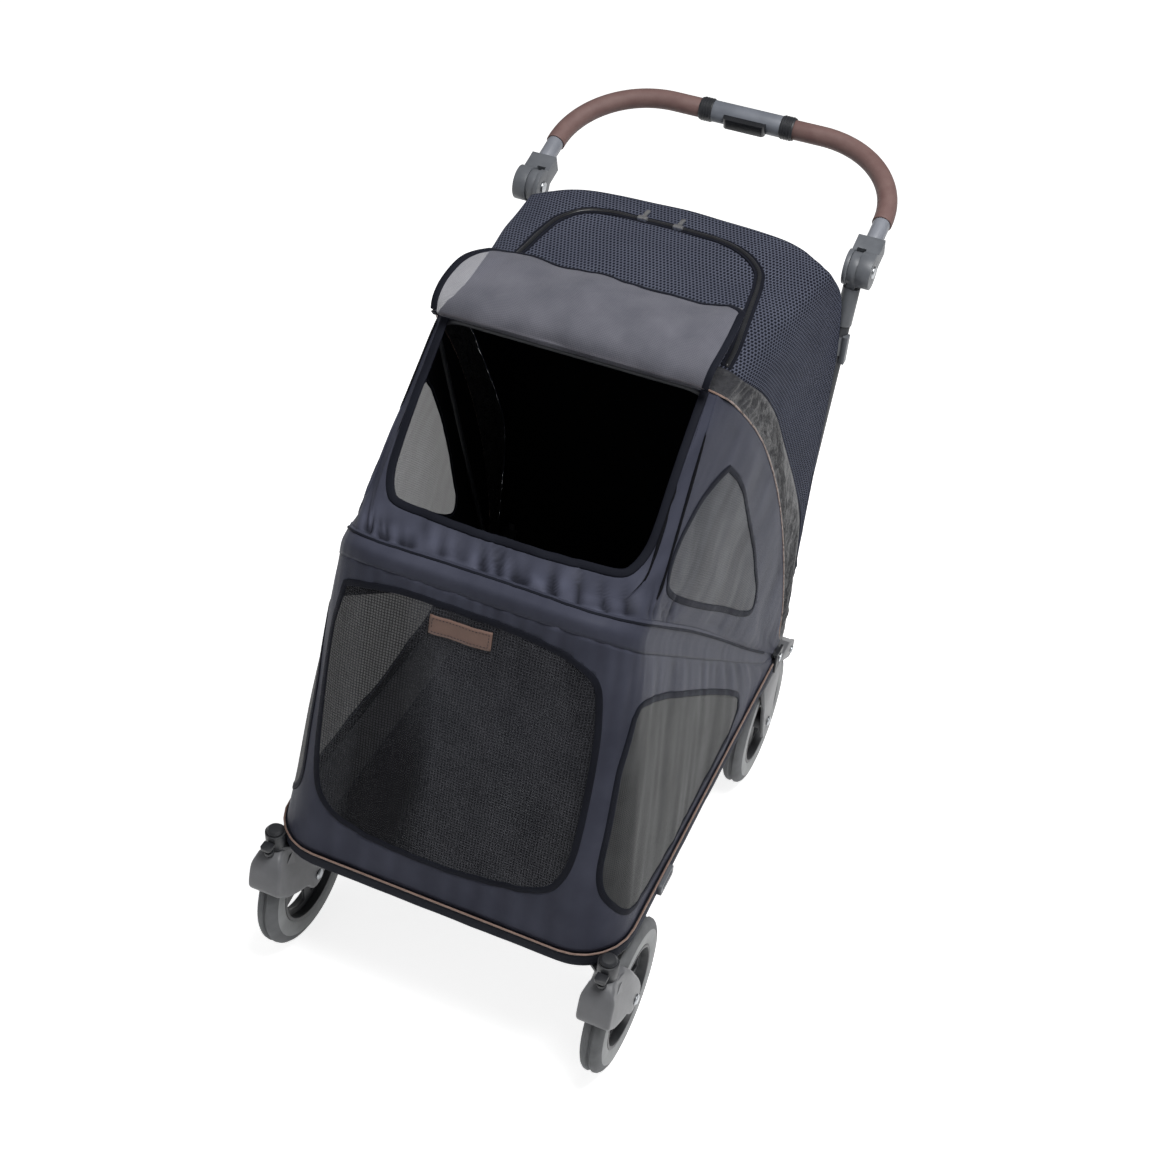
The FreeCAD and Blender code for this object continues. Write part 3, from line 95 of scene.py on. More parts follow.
# %% Helpers for materials
def linear(colour, alpha=1):
    """The linear colour of an sRGB hex value."""
    channels = [int(colour[start:start + 2], 16) / 255 for start in (1, 3, 5)]
    return [c / 12.92 if c <= 0.04045 else ((c + 0.055) / 1.055) ** 2.4 for c in channels] + [alpha]


def add(material, kind, links=(), **settings):
    """Add one shader node: settings are its own choices or socket values, links are (socket, source) pairs."""
    node = material.node_tree.nodes.new("ShaderNode" + kind)
    for name, value in settings.items():
        if hasattr(node, name):
            setattr(node, name, value)
        else:
            node.inputs[name.replace("_", " ")].default_value = value
    for socket, source in links:
        material.node_tree.links.new(source, node.inputs[socket])
    return node


def material(name, colour, roughness, **sockets):
    """A new material with what is the same all over it set on its shader."""
    made = bpy.data.materials.new(name)
    made.use_nodes = True
    shader = made.node_tree.nodes["Principled BSDF"]
    shader.inputs["Base Color"].default_value = linear(colour)
    shader.inputs["Roughness"].default_value = roughness
    for socket, value in sockets.items():
        shader.inputs[socket.replace("_", " ")].default_value = value
    return made


def wire(made, socket, source):
    """Link a node's output to a socket of the material's shader."""
    made.node_tree.links.new(source, made.node_tree.nodes["Principled BSDF"].inputs[socket])


# %% [markdown]
# ## The floor and the lamps
# In a studio a roll of white paper runs on under the product. Here it is a big plane. It glows a little where the
# camera or a reflection sees it, so that it reads as white, and still takes the shadow. The world could light the
# scene alone, but then the folds of the cloth would hardly show, so it stays dim beside the lamps.

# %% Floor, world and lamps
bpy.ops.object.select_all(action="DESELECT")
bpy.ops.mesh.primitive_plane_add(size=40)
floor = bpy.context.object
floor.name = "floor"
paper = material("white_paper", "#f2f2f2", 0.9)
FLOOR_GLOW = 0.8
STUDIO_LEVEL = 0.20  # how much the room lights the stroller beside the lamps
path_of_light = add(paper, "LightPath")
seen = add(paper, "Math", [(0, path_of_light.outputs["Is Camera Ray"]), (1, path_of_light.outputs["Is Glossy Ray"])],
           operation="MAXIMUM")
glow = add(paper, "Math", [(0, seen.outputs[0])], operation="MULTIPLY")
glow.inputs[1].default_value = FLOOR_GLOW
wire(paper, "Emission Strength", glow.outputs[0])
paper.node_tree.nodes["Principled BSDF"].inputs["Emission Color"].default_value = (1, 1, 1, 1)
floor.data.materials.append(paper)

world = bpy.data.worlds.new("studio")
world.use_nodes = True
world.node_tree.nodes["Background"].inputs["Color"].default_value = (1, 1, 1, 1)
world.node_tree.nodes["Background"].inputs["Strength"].default_value = STUDIO_LEVEL
rays = add(world, "LightPath")
either = add(world, "Math", [(0, rays.outputs["Is Camera Ray"]), (1, rays.outputs["Is Transmission Ray"])],
             operation="MAXIMUM")
level = add(world, "MapRange", [("Value", either.outputs[0])], To_Min=STUDIO_LEVEL, To_Max=1.0)
world.node_tree.links.new(level.outputs["Result"], world.node_tree.nodes["Background"].inputs["Strength"])
bpy.context.scene.world = world


def lamp(name, place, target, size, power):
    """A square soft lamp that faces a point."""
    bpy.ops.object.select_all(action="DESELECT")
    bpy.ops.object.light_add(type="AREA", location=place)
    light = bpy.context.object
    light.name = name
    light.rotation_euler = (Vector(place) - Vector(target)).to_track_quat("Z", "Y").to_euler()
    light.data.size = size
    light.data.energy = power


lamp("lamp_above", (0.8, -0.4, 3.2), (0, 0, 0.5), 1.3, 75)
lamp("lamp_right", (2.6, 0.2, 2.6), (0, 0, 0.5), 1.8, 4)
lamp("lamp_left", (-2.4, -2.2, 2.0), (0, 0, 0.5), 2.0, 4)

# %% [markdown]
# ## Materials
# Each surface is named for what it is on the real stroller: woven polyester, spacer knit, netting, moulded nylon,
# painted aluminium, rubber. Cloth patterns read the UV map, which is laid out in metres along the threads, so a
# thread spacing can be written as a length. Hard parts read Object coordinates, which are metres too.


# %% Patterns used by several materials
def coordinates(made, cloth=True):
    """UVs in metres for cloth, or Object coordinates for hard parts."""
    return add(made, "TexCoord").outputs["UV" if cloth else "Object"]


def blotches(made, place, size, dark, light, low=0.25, high=0.75, detail=3.0):
    """Soft patches of two colours, about one size across, wired to the base colour. Gives back the noise node."""
    patches = add(made, "TexNoise", [("Vector", place)], Scale=1 / size, Detail=detail, Roughness=0.55)
    ramp = add(made, "ValToRGB", [("Fac", patches.outputs["Fac"])])
    for element, at, colour in zip(ramp.color_ramp.elements, (low, high), (dark, light)):
        element.position = at
        element.color = linear(colour)
    wire(made, "Base Color", ramp.outputs["Color"])
    return patches


def threads(made, place, across, along, gap, offset=0.0, smooth=0.3):
    """A brick pattern: 1 on the threads between the meshes of a net or knit, 0 in the holes."""
    return add(made, "TexBrick", [("Vector", place)], offset=offset, squash=1.0, Scale=1.0, Mortar_Size=gap,
               Mortar_Smooth=smooth, Bias=0.0, Brick_Width=across, Row_Height=along)


def tint(made, factor, under, over, mode="MIX"):
    """Lay one colour over another by a factor, and wire it to the base colour."""
    mixed = add(made, "Mix", [(0, factor)], data_type="RGBA", blend_type=mode)
    for socket, colour in ((6, under), (7, over)):
        if isinstance(colour, str):
            mixed.inputs[socket].default_value = linear(colour)
        else:
            made.node_tree.links.new(colour, mixed.inputs[socket])
    wire(made, "Base Color", mixed.outputs[2])
    return mixed.outputs[2]


def relief(made, *layers):
    """Bump layers, each (height, depth in metres), one on top of the other."""
    normal = None
    for height, depth in layers:
        bump = add(made, "Bump", [("Height", height)], Strength=1.0, Distance=depth)
        if normal:
            made.node_tree.links.new(normal, bump.inputs["Normal"])
        normal = bump.outputs["Normal"]
    wire(made, "Normal", normal)


def uneven_gloss(made, source, low, high):
    """Roughness that wanders between two values with a pattern."""
    spread = add(made, "MapRange", [("Value", source)], To_Min=low, To_Max=high)
    wire(made, "Roughness", spread.outputs["Result"])


# %% [markdown]
# ## The cabin's cloth and netting
# The panels are close-woven polyester, coated inside, and the windows are polyester netting. The cloth could carry
# its folds as bump alone, but then its edges would stay straight, so the folds are in the mesh and the bump is kept
# for the weave. The netting is see-through in its holes by the alpha of a pattern of threads.

# %% Cloth of the cabin
def woven(name, dark, light, roughness, thread=0.0012, sheen=0.25):
    """Close-woven polyester: ribs both ways, slubs about 2 mm apart, and a soft sheen where it turns away.

    The real thread is about 0.3 mm; the ribs are drawn coarser, 0.8 to 2.2 mm, so that they show."""
    made = material(name, light, roughness, Sheen_Weight=sheen, Sheen_Roughness=0.35, Specular_IOR_Level=0.06)
    made.node_tree.nodes["Principled BSDF"].inputs["Sheen Tint"].default_value = linear("#8a92b4")
    place = coordinates(made)
    blotches(made, place, 0.09, dark, light)
    weave = threads(made, place, thread, thread, thread * 0.3)
    slubs = add(made, "TexNoise", [("Vector", place)], Scale=420.0, Detail=3.0)
    uneven_gloss(made, slubs.outputs["Fac"], roughness - 0.08, roughness + 0.1)
    relief(made, (weave.outputs["Fac"], 0.00010), (slubs.outputs["Fac"], 0.00018))
    return made


# the satin side of the cabin cloth catches the lamp in soft folds, navy charcoal
satin = woven("satin_polyester", "#393b47", "#484a57", 0.45, sheen=0.06)
# painted highlight and shade: the satin's colour is multiplied up to 1.65 on the crests of its folds and down to 0.35
# in the creases; "fold" is above 0 on a crest, below 0 in one
crest = add(satin, "Attribute", attribute_name="fold")
painted_crest_shade = add(satin, "MapRange", [("Value", crest.outputs["Fac"])], From_Min=-1.0, From_Max=1.0, To_Min=0.35,
             To_Max=1.65)
flat_colour = satin.node_tree.nodes["Principled BSDF"].inputs["Base Color"].links[0].from_socket
painted_crest_colour = add(satin, "Mix", [(6, flat_colour), (7, painted_crest_shade.outputs["Result"])], data_type="RGBA", blend_type="MULTIPLY",
               Factor=1.0)
wire(satin, "Base Color", painted_crest_colour.outputs[2])
# the same cloth, coated on its inner side, is darker and duller
lining = woven("coated_lining", "#0e0f12", "#15161a", 0.75, sheen=0.03)
# grosgrain tape that covers the raw edges: close cross ribs
tape = woven("grosgrain_tape", "#17181f", "#1f2129", 0.62, thread=0.0022, sheen=0.1)
band_cloth = woven("coated_canvas", "#202228", "#292b32", 0.66, thread=0.0018, sheen=0.1)


def netting(name, thread_colour, dull, pitch, cover, hole, thread_share=0.34):
    """Netting: threads both ways with open holes, pitch apart. The real holes are about 1 mm; they are drawn 2.2
    to 4 mm apart so that they still show. cover is how solid a thread looks, and hole how solid a hole looks from a
    distance, because the finest threads are lost."""
    made = material(name, thread_colour, 0.5, Sheen_Weight=0.12, Sheen_Roughness=0.4, Specular_IOR_Level=0.08)
    place = coordinates(made)
    net = threads(made, place, pitch, pitch, pitch * thread_share * 0.5, smooth=0.6)
    blotches(made, place, 0.05, dull, thread_colour)
    see = add(made, "MapRange", [("Value", net.outputs["Fac"])], To_Min=hole, To_Max=cover)
    wire(made, "Alpha", see.outputs["Result"])
    relief(made, (net.outputs["Fac"], 0.0003))
    return made


def painted_shade_bands(made, width, dark, strength):
    """Paint shade into a netting's colour in soft upright bands, darker towards the given colour."""
    place = coordinates(made)
    drawn = add(made, "Mapping", [("Vector", place)], Scale=(1 / width, 0.16 / width, 1.0))
    soft = add(made, "TexNoise", [("Vector", drawn.outputs["Vector"])], Scale=1.0, Detail=1.0, Distortion=0.3)
    spread = add(made, "MapRange", [("Value", soft.outputs["Fac"])], From_Min=0.44, From_Max=0.60, To_Min=0.0,
                 To_Max=strength)
    under = made.node_tree.nodes["Principled BSDF"].inputs["Base Color"].links[0].from_socket
    tint(made, spread.outputs["Result"], under, dark)


front_net = netting("window_netting", "#4a4b50", "#38393e", 0.0040, 0.92, 0.42, thread_share=0.42)
side_net = netting("side_netting", "#4c4d4e", "#3b3c3d", 0.0030, 0.97, 0.86)
# painted light: the hood's netting has lighter threads than the side netting, for the light that shows through it from
# the far side
hood_net = netting("hood_netting", "#62646a", "#4c4e54", 0.0030, 0.96, 0.84)
# painted shade and sheen: darker upright bands laid into each netting's colour, with lighter streaks between them
painted_shade_bands(front_net, 0.13, "#17181c", 1.0)
painted_shade_bands(side_net, 0.05, "#2b2c2d", 0.5)
painted_shade_bands(hood_net, 0.04, "#43454a", 0.6)
# the flap's netting is finer and catches more light
flap_net = netting("flap_netting", "#74747d", "#5f6069", 0.0022, 0.97, 0.76)
print("cloth and netting:", [made.name for made in (satin, lining, tape, band_cloth, front_net, side_net, hood_net,
                                                   flap_net)])

# %% [markdown]
# ## Knit, crinkled nylon, piping and leatherette
# The roof is spacer knit, two faces of mesh held apart by springy threads, which breathes and keeps its shape. The
# strip behind the bow is thin nylon, crushed by its elastic. The grips and the patch are leatherette.

# %% Spacer knit, crinkled nylon, leather and piping
# 3D spacer knit: rows of oval holes between rounded ribs, each row half a hole along from the next. The real holes
# are 2 to 3 mm apart; they are drawn 5.2 by 6.8 mm so that they show
knit = material("spacer_knit", "#2b3042", 0.78, Sheen_Weight=0.12, Sheen_Roughness=0.5, Specular_IOR_Level=0.10)
knit.node_tree.nodes["Principled BSDF"].inputs["Sheen Tint"].default_value = linear("#8a92b4")
place = coordinates(knit)
ovals = threads(knit, place, 0.0052, 0.0068, 0.0016, offset=0.5, smooth=0.8)
fuzz = add(knit, "TexNoise", [("Vector", place)], Scale=900.0, Detail=3.0)
wide = add(knit, "TexNoise", [("Vector", place)], Scale=9.0, Detail=2.0)
tone = add(knit, "ValToRGB", [("Fac", wide.outputs["Fac"])])
tone.color_ramp.elements[0].color = linear("#4a4d5a")
tone.color_ramp.elements[1].color = linear("#626675")
tint(knit, ovals.outputs["Fac"], "#0e1019", tone.outputs["Color"])
relief(knit, (ovals.outputs["Fac"], 0.0016), (fuzz.outputs["Fac"], 0.0003))

# thin crinkled nylon behind the canopy bow: creases about 9 mm apart, drawn coarser than the real 3 to 5 mm
gathers = material("crinkled_nylon", "#2f302f", 0.42, Sheen_Weight=0.05, Specular_IOR_Level=0.22)
place = coordinates(gathers)
creases = add(gathers, "TexVoronoi", [("Vector", place)], feature="DISTANCE_TO_EDGE", Scale=110.0)
crush = add(gathers, "TexNoise", [("Vector", place)], Scale=160.0, Detail=6.0, Roughness=0.6)
blotches(gathers, place, 0.012, "#26272a", "#3b3b3f")
relief(gathers, (crush.outputs["Fac"], 0.0016), (creases.outputs["Distance"], 0.0012))

# cord covered in copper-coloured satin
piping = material("copper_piping", "#8a7064", 0.4, Sheen_Weight=0.2)
place = coordinates(piping)
twill = add(piping, "TexWave", [("Vector", place)], Scale=320.0, Distortion=0.4, bands_direction="DIAGONAL")
blotches(piping, place, 0.01, "#785f54", "#967b6e")
relief(piping, (twill.outputs["Fac"], 0.0001))


def leather(name, dark, light, grain=0.0013, cloth=False):
    """Pebbled leatherette: small raised cells with fine creases between them."""
    made = material(name, light, 0.55, Specular_IOR_Level=0.4)
    place = coordinates(made, cloth)
    patches = blotches(made, place, 0.018, dark, light)
    pebbles = add(made, "TexVoronoi", [("Vector", place)], feature="DISTANCE_TO_EDGE", Scale=1 / grain)
    fine = add(made, "TexNoise", [("Vector", place)], Scale=1500.0, Detail=2.0)
    uneven_gloss(made, patches.outputs["Fac"], 0.45, 0.68)
    relief(made, (pebbles.outputs["Distance"], 0.0004), (fine.outputs["Fac"], 0.0001))
    return made


grip_leather = leather("handle_leatherette", "#6b514e", "#78605c")
patch_leather = leather("patch_leatherette", "#6d554c", "#786056", 0.0016, cloth=True)
thread = woven("sewing_thread", "#2a2b31", "#3a3c44", 0.6, thread=0.0008)
print("more cloth:", [made.name for made in (knit, gathers, piping, grip_leather, patch_leather, thread)])


# %% [markdown]
# ## Plastic, rubber and metal
# The forks and joints are moulded nylon with a spark-eroded texture, which scatters light so that they look matt.
# The tubes are painted aluminium, the axles plated steel, and the tyres foamed rubber with a pale ring.

# %% Hard parts
def moulded(name, dark, light, roughness, grit=0.0008, depth=0.00006, **sockets):
    """Moulded plastic with a spark-eroded texture and slightly uneven colour and gloss.

    The real texture is 0.1 to 0.3 mm; it is drawn at the grit given, 0.8 mm or more, so that it shows."""
    made = material(name, light, roughness, **sockets)
    place = coordinates(made, cloth=False)
    blotches(made, place, 0.03, dark, light)
    texture = add(made, "TexNoise", [("Vector", place)], Scale=1 / grit, Detail=2.0)
    uneven_gloss(made, texture.outputs["Fac"], roughness - 0.1, roughness + 0.1)
    relief(made, (texture.outputs["Fac"], depth))
    return made


joint_nylon = moulded("moulded_joint_nylon", "#55585d", "#686b70", 0.45)
black_nylon = moulded("moulded_black_nylon", "#202125", "#2b2d31", 0.48)
housing_plastic = moulded("soft_touch_plastic", "#62666e", "#747880", 0.5)
button_plastic = moulded("gloss_black_abs", "#17181b", "#212226", 0.3)
rim_plastic = moulded("moulded_rim_nylon", "#2a2b2e", "#393b3e", 0.5)
frame_paint = moulded("powder_coat", "#2b2d31", "#383a3f", 0.5, grit=0.0014, depth=0.00012)
fork_nylon = moulded("moulded_fork_nylon", "#626366", "#717275", 0.46)
board = moulded("textured_board", "#2c2d30", "#3a3b3f", 0.7, grit=0.003, depth=0.0003)
rubber = moulded("foam_rubber", "#5c5e60", "#727476", 0.75, grit=0.0012, depth=0.0002)
sidewall = moulded("pale_sidewall", "#8f9192", "#a6a8a9", 0.6, grit=0.0016, depth=0.00012)

# painted aluminium tube, satin grey, with drawing lines too fine to see and faint speckle
tube_paint = moulded("satin_painted_aluminium", "#777a82", "#8a8d95", 0.38, grit=0.001, Coat_Weight=0.2)

# zinc-plated steel with fine turning marks
steel = material("plated_steel", "#9fa2a6", 0.32, Metallic=1.0)
place = coordinates(steel, cloth=False)
scratches = add(steel, "TexNoise", [("Vector", place)], Scale=700.0, Detail=3.0)
blotches(steel, place, 0.01, "#8c8f93", "#b4b7ba")
uneven_gloss(steel, scratches.outputs["Fac"], 0.22, 0.45)
relief(steel, (scratches.outputs["Fac"], 0.00003))
silver = material("die_cast_zinc", "#dcdee1", 0.24, Metallic=1.0)
place = coordinates(silver, cloth=False)
wear = add(silver, "TexNoise", [("Vector", place)], Scale=400.0, Detail=3.0)
blotches(silver, place, 0.004, "#c6c8cc", "#ecedef")
uneven_gloss(silver, wear.outputs["Fac"], 0.2, 0.4)

# the cushion's cover: soft brushed microfibre
microfibre = woven("brushed_microfibre", "#1e1f24", "#222329", 0.85, thread=0.002, sheen=0.15)
print("materials:", len(bpy.data.materials))

# %% [markdown]
# ## The hard parts
# Tubes, joints, forks and wheels keep the shape they arrive with. A Weld modifier joins their loose triangles, a
# fine Bevel catches the light on every edge as a moulded or sawn edge does, and each takes its own material.

# %% Finishes for the parts that stay
FINISHES = {
    "side_rails": frame_paint, "front_crossbar": frame_paint, "rear_crossbar": frame_paint, "tray_board": board,
    "floor_cushion": microfibre, "caster_socket": black_nylon, "caster_bushings": black_nylon,
    "rear_fork": fork_nylon, "rear_axles": steel, "fold_brackets": black_nylon, "fold_pins": steel,
    "strap_buckle": joint_nylon, "rim_bow": frame_paint, "canopy_bow": frame_paint, "fold_arms": black_nylon,
    "upright_tube": frame_paint, "joint_hub": joint_nylon, "upright_cross_tube": frame_paint,
    "frame_clips": joint_nylon, "handle_tube": tube_paint, "handle_grip": grip_leather, "handle_yoke": joint_nylon,
    "handle_housing": housing_plastic, "joint_pins": steel, "fold_button": button_plastic,
    "brake_shaft": steel, "brake_pedal": black_nylon, "caster_fork": fork_nylon, "caster_stem": black_nylon,
    "front_axle": steel, "rim_front": rim_plastic, "rim_rear": rim_plastic, "tyre": rubber,
    "swivel_lock": black_nylon, "zip_slider": silver,
}
SMOOTH_EDGES = {"rim_bow", "canopy_bow", "handle_tube", "handle_grip", "tyre"}


def finish_for(name):
    """The longest entry of FINISHES that a part's name starts with, or nothing."""
    return next((stem for stem in sorted(FINISHES, key=len, reverse=True) if name.startswith(stem)), None)


for name, part in frame["nodes"].items():
    stem = finish_for(name)
    if not stem:
        continue
    part.data.materials.clear()
    part.data.materials.append(FINISHES[stem])
    part.data.polygons.foreach_set("use_smooth", [True] * len(part.data.polygons))
    weld = part.modifiers.new("weld", "WELD")
    weld.merge_threshold = 0.00001
    bevel = part.modifiers.new("soft_edges", "BEVEL")
    bevel.width = 0.0007 if stem not in SMOOTH_EDGES else 0.0003
    bevel.segments = 2
    bevel.limit_method = "ANGLE"
    bevel.angle_limit = radians(32)
    bevel.harden_normals = True
print("finished parts:", sum(1 for name in frame["nodes"] if finish_for(name)))

# %% [markdown]
# ## Making cloth
# A panel of cloth is a grid whose vertices are set row by row. A few chosen points give its form, and a soft curve
# through them in both directions gives the rest, as a pattern cutter would draw it. Each vertex also remembers how
# far up its panel it is.


# %% Curves and grids
def smooth(points, steps):
    """Points on a soft curve through the given ones, so many steps to each stretch."""
    points = np.asarray(points, float)
    ends = np.concatenate([2 * points[:1] - points[1:2], points, 2 * points[-1:] - points[-2:-1]])
    t = (np.arange(steps) / steps).reshape([steps] + [1] * (points.ndim - 1))
    runs = [0.5 * (2 * b + (c - a) * t + (2 * a - 5 * b + 4 * c - d) * t ** 2 + (3 * b - a - 3 * c + d) * t ** 3)
            for a, b, c, d in zip(ends, ends[1:], ends[2:], ends[3:])]
    return np.concatenate(runs + [points[-1:]])


def smooth_grid(grid, row_steps, column_steps):
    """A fine grid through the points of a coarse one."""
    tall = smooth(np.asarray(grid, float), row_steps)
    return smooth(tall.swapaxes(0, 1), column_steps).swapaxes(0, 1)


def smooth_loop(points, steps):
    """A closed soft curve."""
    points = np.asarray(points, float)
    around = np.concatenate([points[-2:], points, points[:3]])
    return smooth(around, steps)[2 * steps:-3 * steps]


def even(path, spacing):
    """The same line with its points evenly spaced."""
    path = np.asarray(path, float)
    reach = np.concatenate([[0], np.cumsum(np.linalg.norm(np.diff(path, axis=0), axis=1))])
    at = np.linspace(0, reach[-1], max(2, int(round(reach[-1] / spacing)) + 1))
    return np.stack([np.interp(at, reach, path[:, i]) for i in range(3)], axis=1)


def arch(half):
    """The whole line, left to right, of one given from low on the right up to the middle."""
    half = np.asarray(half, float)
    rest = half[::-1]
    return np.concatenate([half * (-1, 1, 1), rest[1:] if abs(half[-1][0]) < 1e-9 else rest])


def outwards(points):
    """Unit normals of a grid of points."""
    normals = np.cross(np.gradient(points, axis=1), np.gradient(points, axis=0))
    return normals / np.maximum(np.linalg.norm(normals, axis=2, keepdims=True), 1e-12)


def lengths(points):
    """How far along its row and up its column each grid point is, in metres."""
    along = np.linalg.norm(np.diff(points, axis=1), axis=2)
    up = np.linalg.norm(np.diff(points, axis=0), axis=2)
    u = np.concatenate([np.zeros((points.shape[0], 1)), np.cumsum(along, axis=1)], axis=1)
    v = np.concatenate([np.zeros((1, points.shape[1])), np.cumsum(up, axis=0)], axis=0)
    return u - u[:, -1:] / 2, v


def cloth(name, points, *finishes):
    """A grid of cloth, with UVs in metres and each vertex's share of the way up kept as "share"."""
    rows, columns = points.shape[:2]
    bpy.ops.object.select_all(action="DESELECT")
    bpy.ops.mesh.primitive_grid_add(x_subdivisions=columns - 1, y_subdivisions=rows - 1, size=1)
    piece = bpy.context.object
    piece.name = name
    mesh = piece.data
    mesh.vertices.foreach_set("co", points.reshape(-1))
    u, v = lengths(points)
    corner = np.empty(len(mesh.loops), int)
    mesh.loops.foreach_get("vertex_index", corner)
    flat = np.stack([u.reshape(-1)[corner], v.reshape(-1)[corner]], axis=1)
    mesh.uv_layers.active.data.foreach_set("uv", flat.reshape(-1))
    share = mesh.attributes.new("share", "FLOAT", "POINT")
    share.data.foreach_set("value", np.repeat(np.linspace(0, 1, rows), columns))
    for finish in finishes:
        mesh.materials.append(finish)
    bpy.ops.object.shade_smooth()
    return piece


def wavering(points, size_along, size_up, seed, detail=2, lean=0.0):
    """Seeded noise from -1 to 1 over a grid, with patches so long along its rows and up its columns."""
    u, v = lengths(points)
    u = u + v * lean
    flat = [noise.fractal(Vector((a / size_along, b / size_up, seed)), 0.7, 2.0, detail)
            for a, b in zip(u.reshape(-1), v.reshape(-1))]
    return np.array(flat).reshape(u.shape)


def mark_folds(piece, heights, depth, reach=3):
    """Keep on each vertex how far it stands above (to 1) or below (to -1) the cloth around it, for the satin's painted
    highlight on crests and painted shade in creases.
    """
    padded = np.pad(heights, reach, mode="edge")
    rows, columns = heights.shape
    around = sum(padded[i:i + rows, j:j + columns] for i in range(0, 2 * reach + 1) for j in range(0, 2 * reach + 1))
    fold = np.clip((heights - around / (2 * reach + 1) ** 2) / depth, -1, 1)
    piece.data.attributes.new("fold", "FLOAT", "POINT").data.foreach_set("value", fold.reshape(-1).astype(np.float32))


def hold_edges(grid, reach=5):
    """1 in the middle of a grid, falling to 0 at its first and last rows."""
    row = np.arange(grid.shape[0])
    near = np.minimum(row, row[::-1]) / reach
    return np.clip(near, 0, 1)[:, None]


def thicken(piece, thickness, offset=-1, lined=False):
    """Give a sheet its real thickness."""
    bpy.context.view_layer.objects.active = piece
    solid = piece.modifiers.new("thickness", "SOLIDIFY")
    solid.thickness = thickness
    solid.offset = offset
    if lined:
        solid.material_offset = 1
        solid.material_offset_rim = 0
    bpy.ops.object.modifier_apply(modifier=solid.name)


# %% [markdown]
# ## Windows, tapes and placing
# A window is cut as a sewer would: its outline is drawn, carried on to the panel, and the cloth inside is parted.
# A tape covers the raw edge. Each panel's place is then baked into its mesh.

# %% Cutting, taping and hanging
def within(points, loop):
    """Which of the flat points are inside a closed flat line."""
    inside = np.zeros(len(points), bool)
    x, y = points[:, 0], points[:, 1]
    for (x0, y0), (x1, y1) in zip(loop, np.roll(loop, -1, axis=0)):
        if y0 != y1:
            inside ^= ((y0 > y) != (y1 > y)) & (x < (x1 - x0) * (y - y0) / (y1 - y0) + x0)
    return inside


def tree_of(piece):
    """What finds the nearest point of a piece, or where a ray meets it."""
    return BVHTree.FromObject(piece, bpy.context.evaluated_depsgraph_get())


def drawn_on(tree, flat, axis, start, steps=8, closed=True, spacing=0.004):
    """A line drawn flat, then carried on to the cloth along an axis. Gives points and the cloth's normals there."""
    flat = np.asarray(flat, float)
    line = np.insert(flat, axis, start, axis=1)
    line = smooth_loop(line, steps) if closed else smooth(line, steps)
    line = even(np.concatenate([line, line[:1]]) if closed else line, spacing)
    if closed:
        line = line[:-1]
    direction = Vector([-np.sign(start) if i == axis else 0 for i in range(3)])
    points, normals = [], []
    for point in line:
        hit, normal, index, distance = tree.ray_cast(Vector(point), direction)
        if hit is None:
            hit, normal, index, distance = tree.find_nearest(Vector(point))
        points.append(hit)
        normals.append(normal if normal.dot(direction) < 0 else -normal)
    return np.array(points), np.array(normals)


def cut_out(piece, outline, axis, name=None):
    """Cut a piece along a closed line on it. The inside becomes a sheet of its own, or is thrown away."""
    mesh = piece.data
    keep = [i for i in range(3) if i != axis]
    centres = np.empty(len(mesh.polygons) * 3)
    mesh.polygons.foreach_get("center", centres)
    centres = centres.reshape(-1, 3)
    inside = within(centres[:, keep], outline[:, keep])
    inside &= np.sign(centres[:, axis] - outline[:, axis].mean() / 2) == np.sign(outline[:, axis].mean())
    touched = np.zeros(len(mesh.vertices), int)
    for face, is_in in zip(mesh.polygons, inside):
        touched[list(face.vertices)] |= 1 if is_in else 2
    for index in np.flatnonzero(touched == 3):
        place = np.array(mesh.vertices[index].co)
        nearest = outline[np.argmin(np.linalg.norm(outline - place, axis=1))]
        mesh.vertices[index].co = nearest
    select_faces(piece, inside)
    if name is None:
        bpy.ops.mesh.delete(type="FACE")
        bpy.ops.object.mode_set(mode="OBJECT")
        return None
    bpy.ops.mesh.separate(type="SELECTED")
    bpy.ops.object.mode_set(mode="OBJECT")
    made = next(o for o in bpy.context.selected_objects if o != piece)
    made.name = name
    return made


def select_faces(piece, chosen):
    """Enter edit mode with only the chosen faces selected."""
    bpy.ops.object.select_all(action="DESELECT")
    piece.select_set(True)
    bpy.context.view_layer.objects.active = piece
    bpy.ops.object.mode_set(mode="EDIT")
    bpy.ops.mesh.select_mode(type="FACE")
    bpy.ops.mesh.select_all(action="DESELECT")
    bpy.ops.object.mode_set(mode="OBJECT")
    piece.data.polygons.foreach_set("select", np.asarray(chosen, bool))
    bpy.ops.object.mode_set(mode="EDIT")


def tape_section(width, height):
    """The section of a folded tape: nearly flat below and slightly crowned on top."""
    half = width / 2
    return [(-half, -height * 0.5), (-half, height * 0.4), (-half * 0.7, height * 0.9), (0, height),
            (half * 0.7, height * 0.9), (half, height * 0.4), (half, -height * 0.5), (-half, -height * 0.5)]


def round_section(radius, sides=8):
    """The section of a cord."""
    return [(-radius * cos(2 * pi * i / sides), radius * sin(2 * pi * i / sides)) for i in range(sides + 1)]


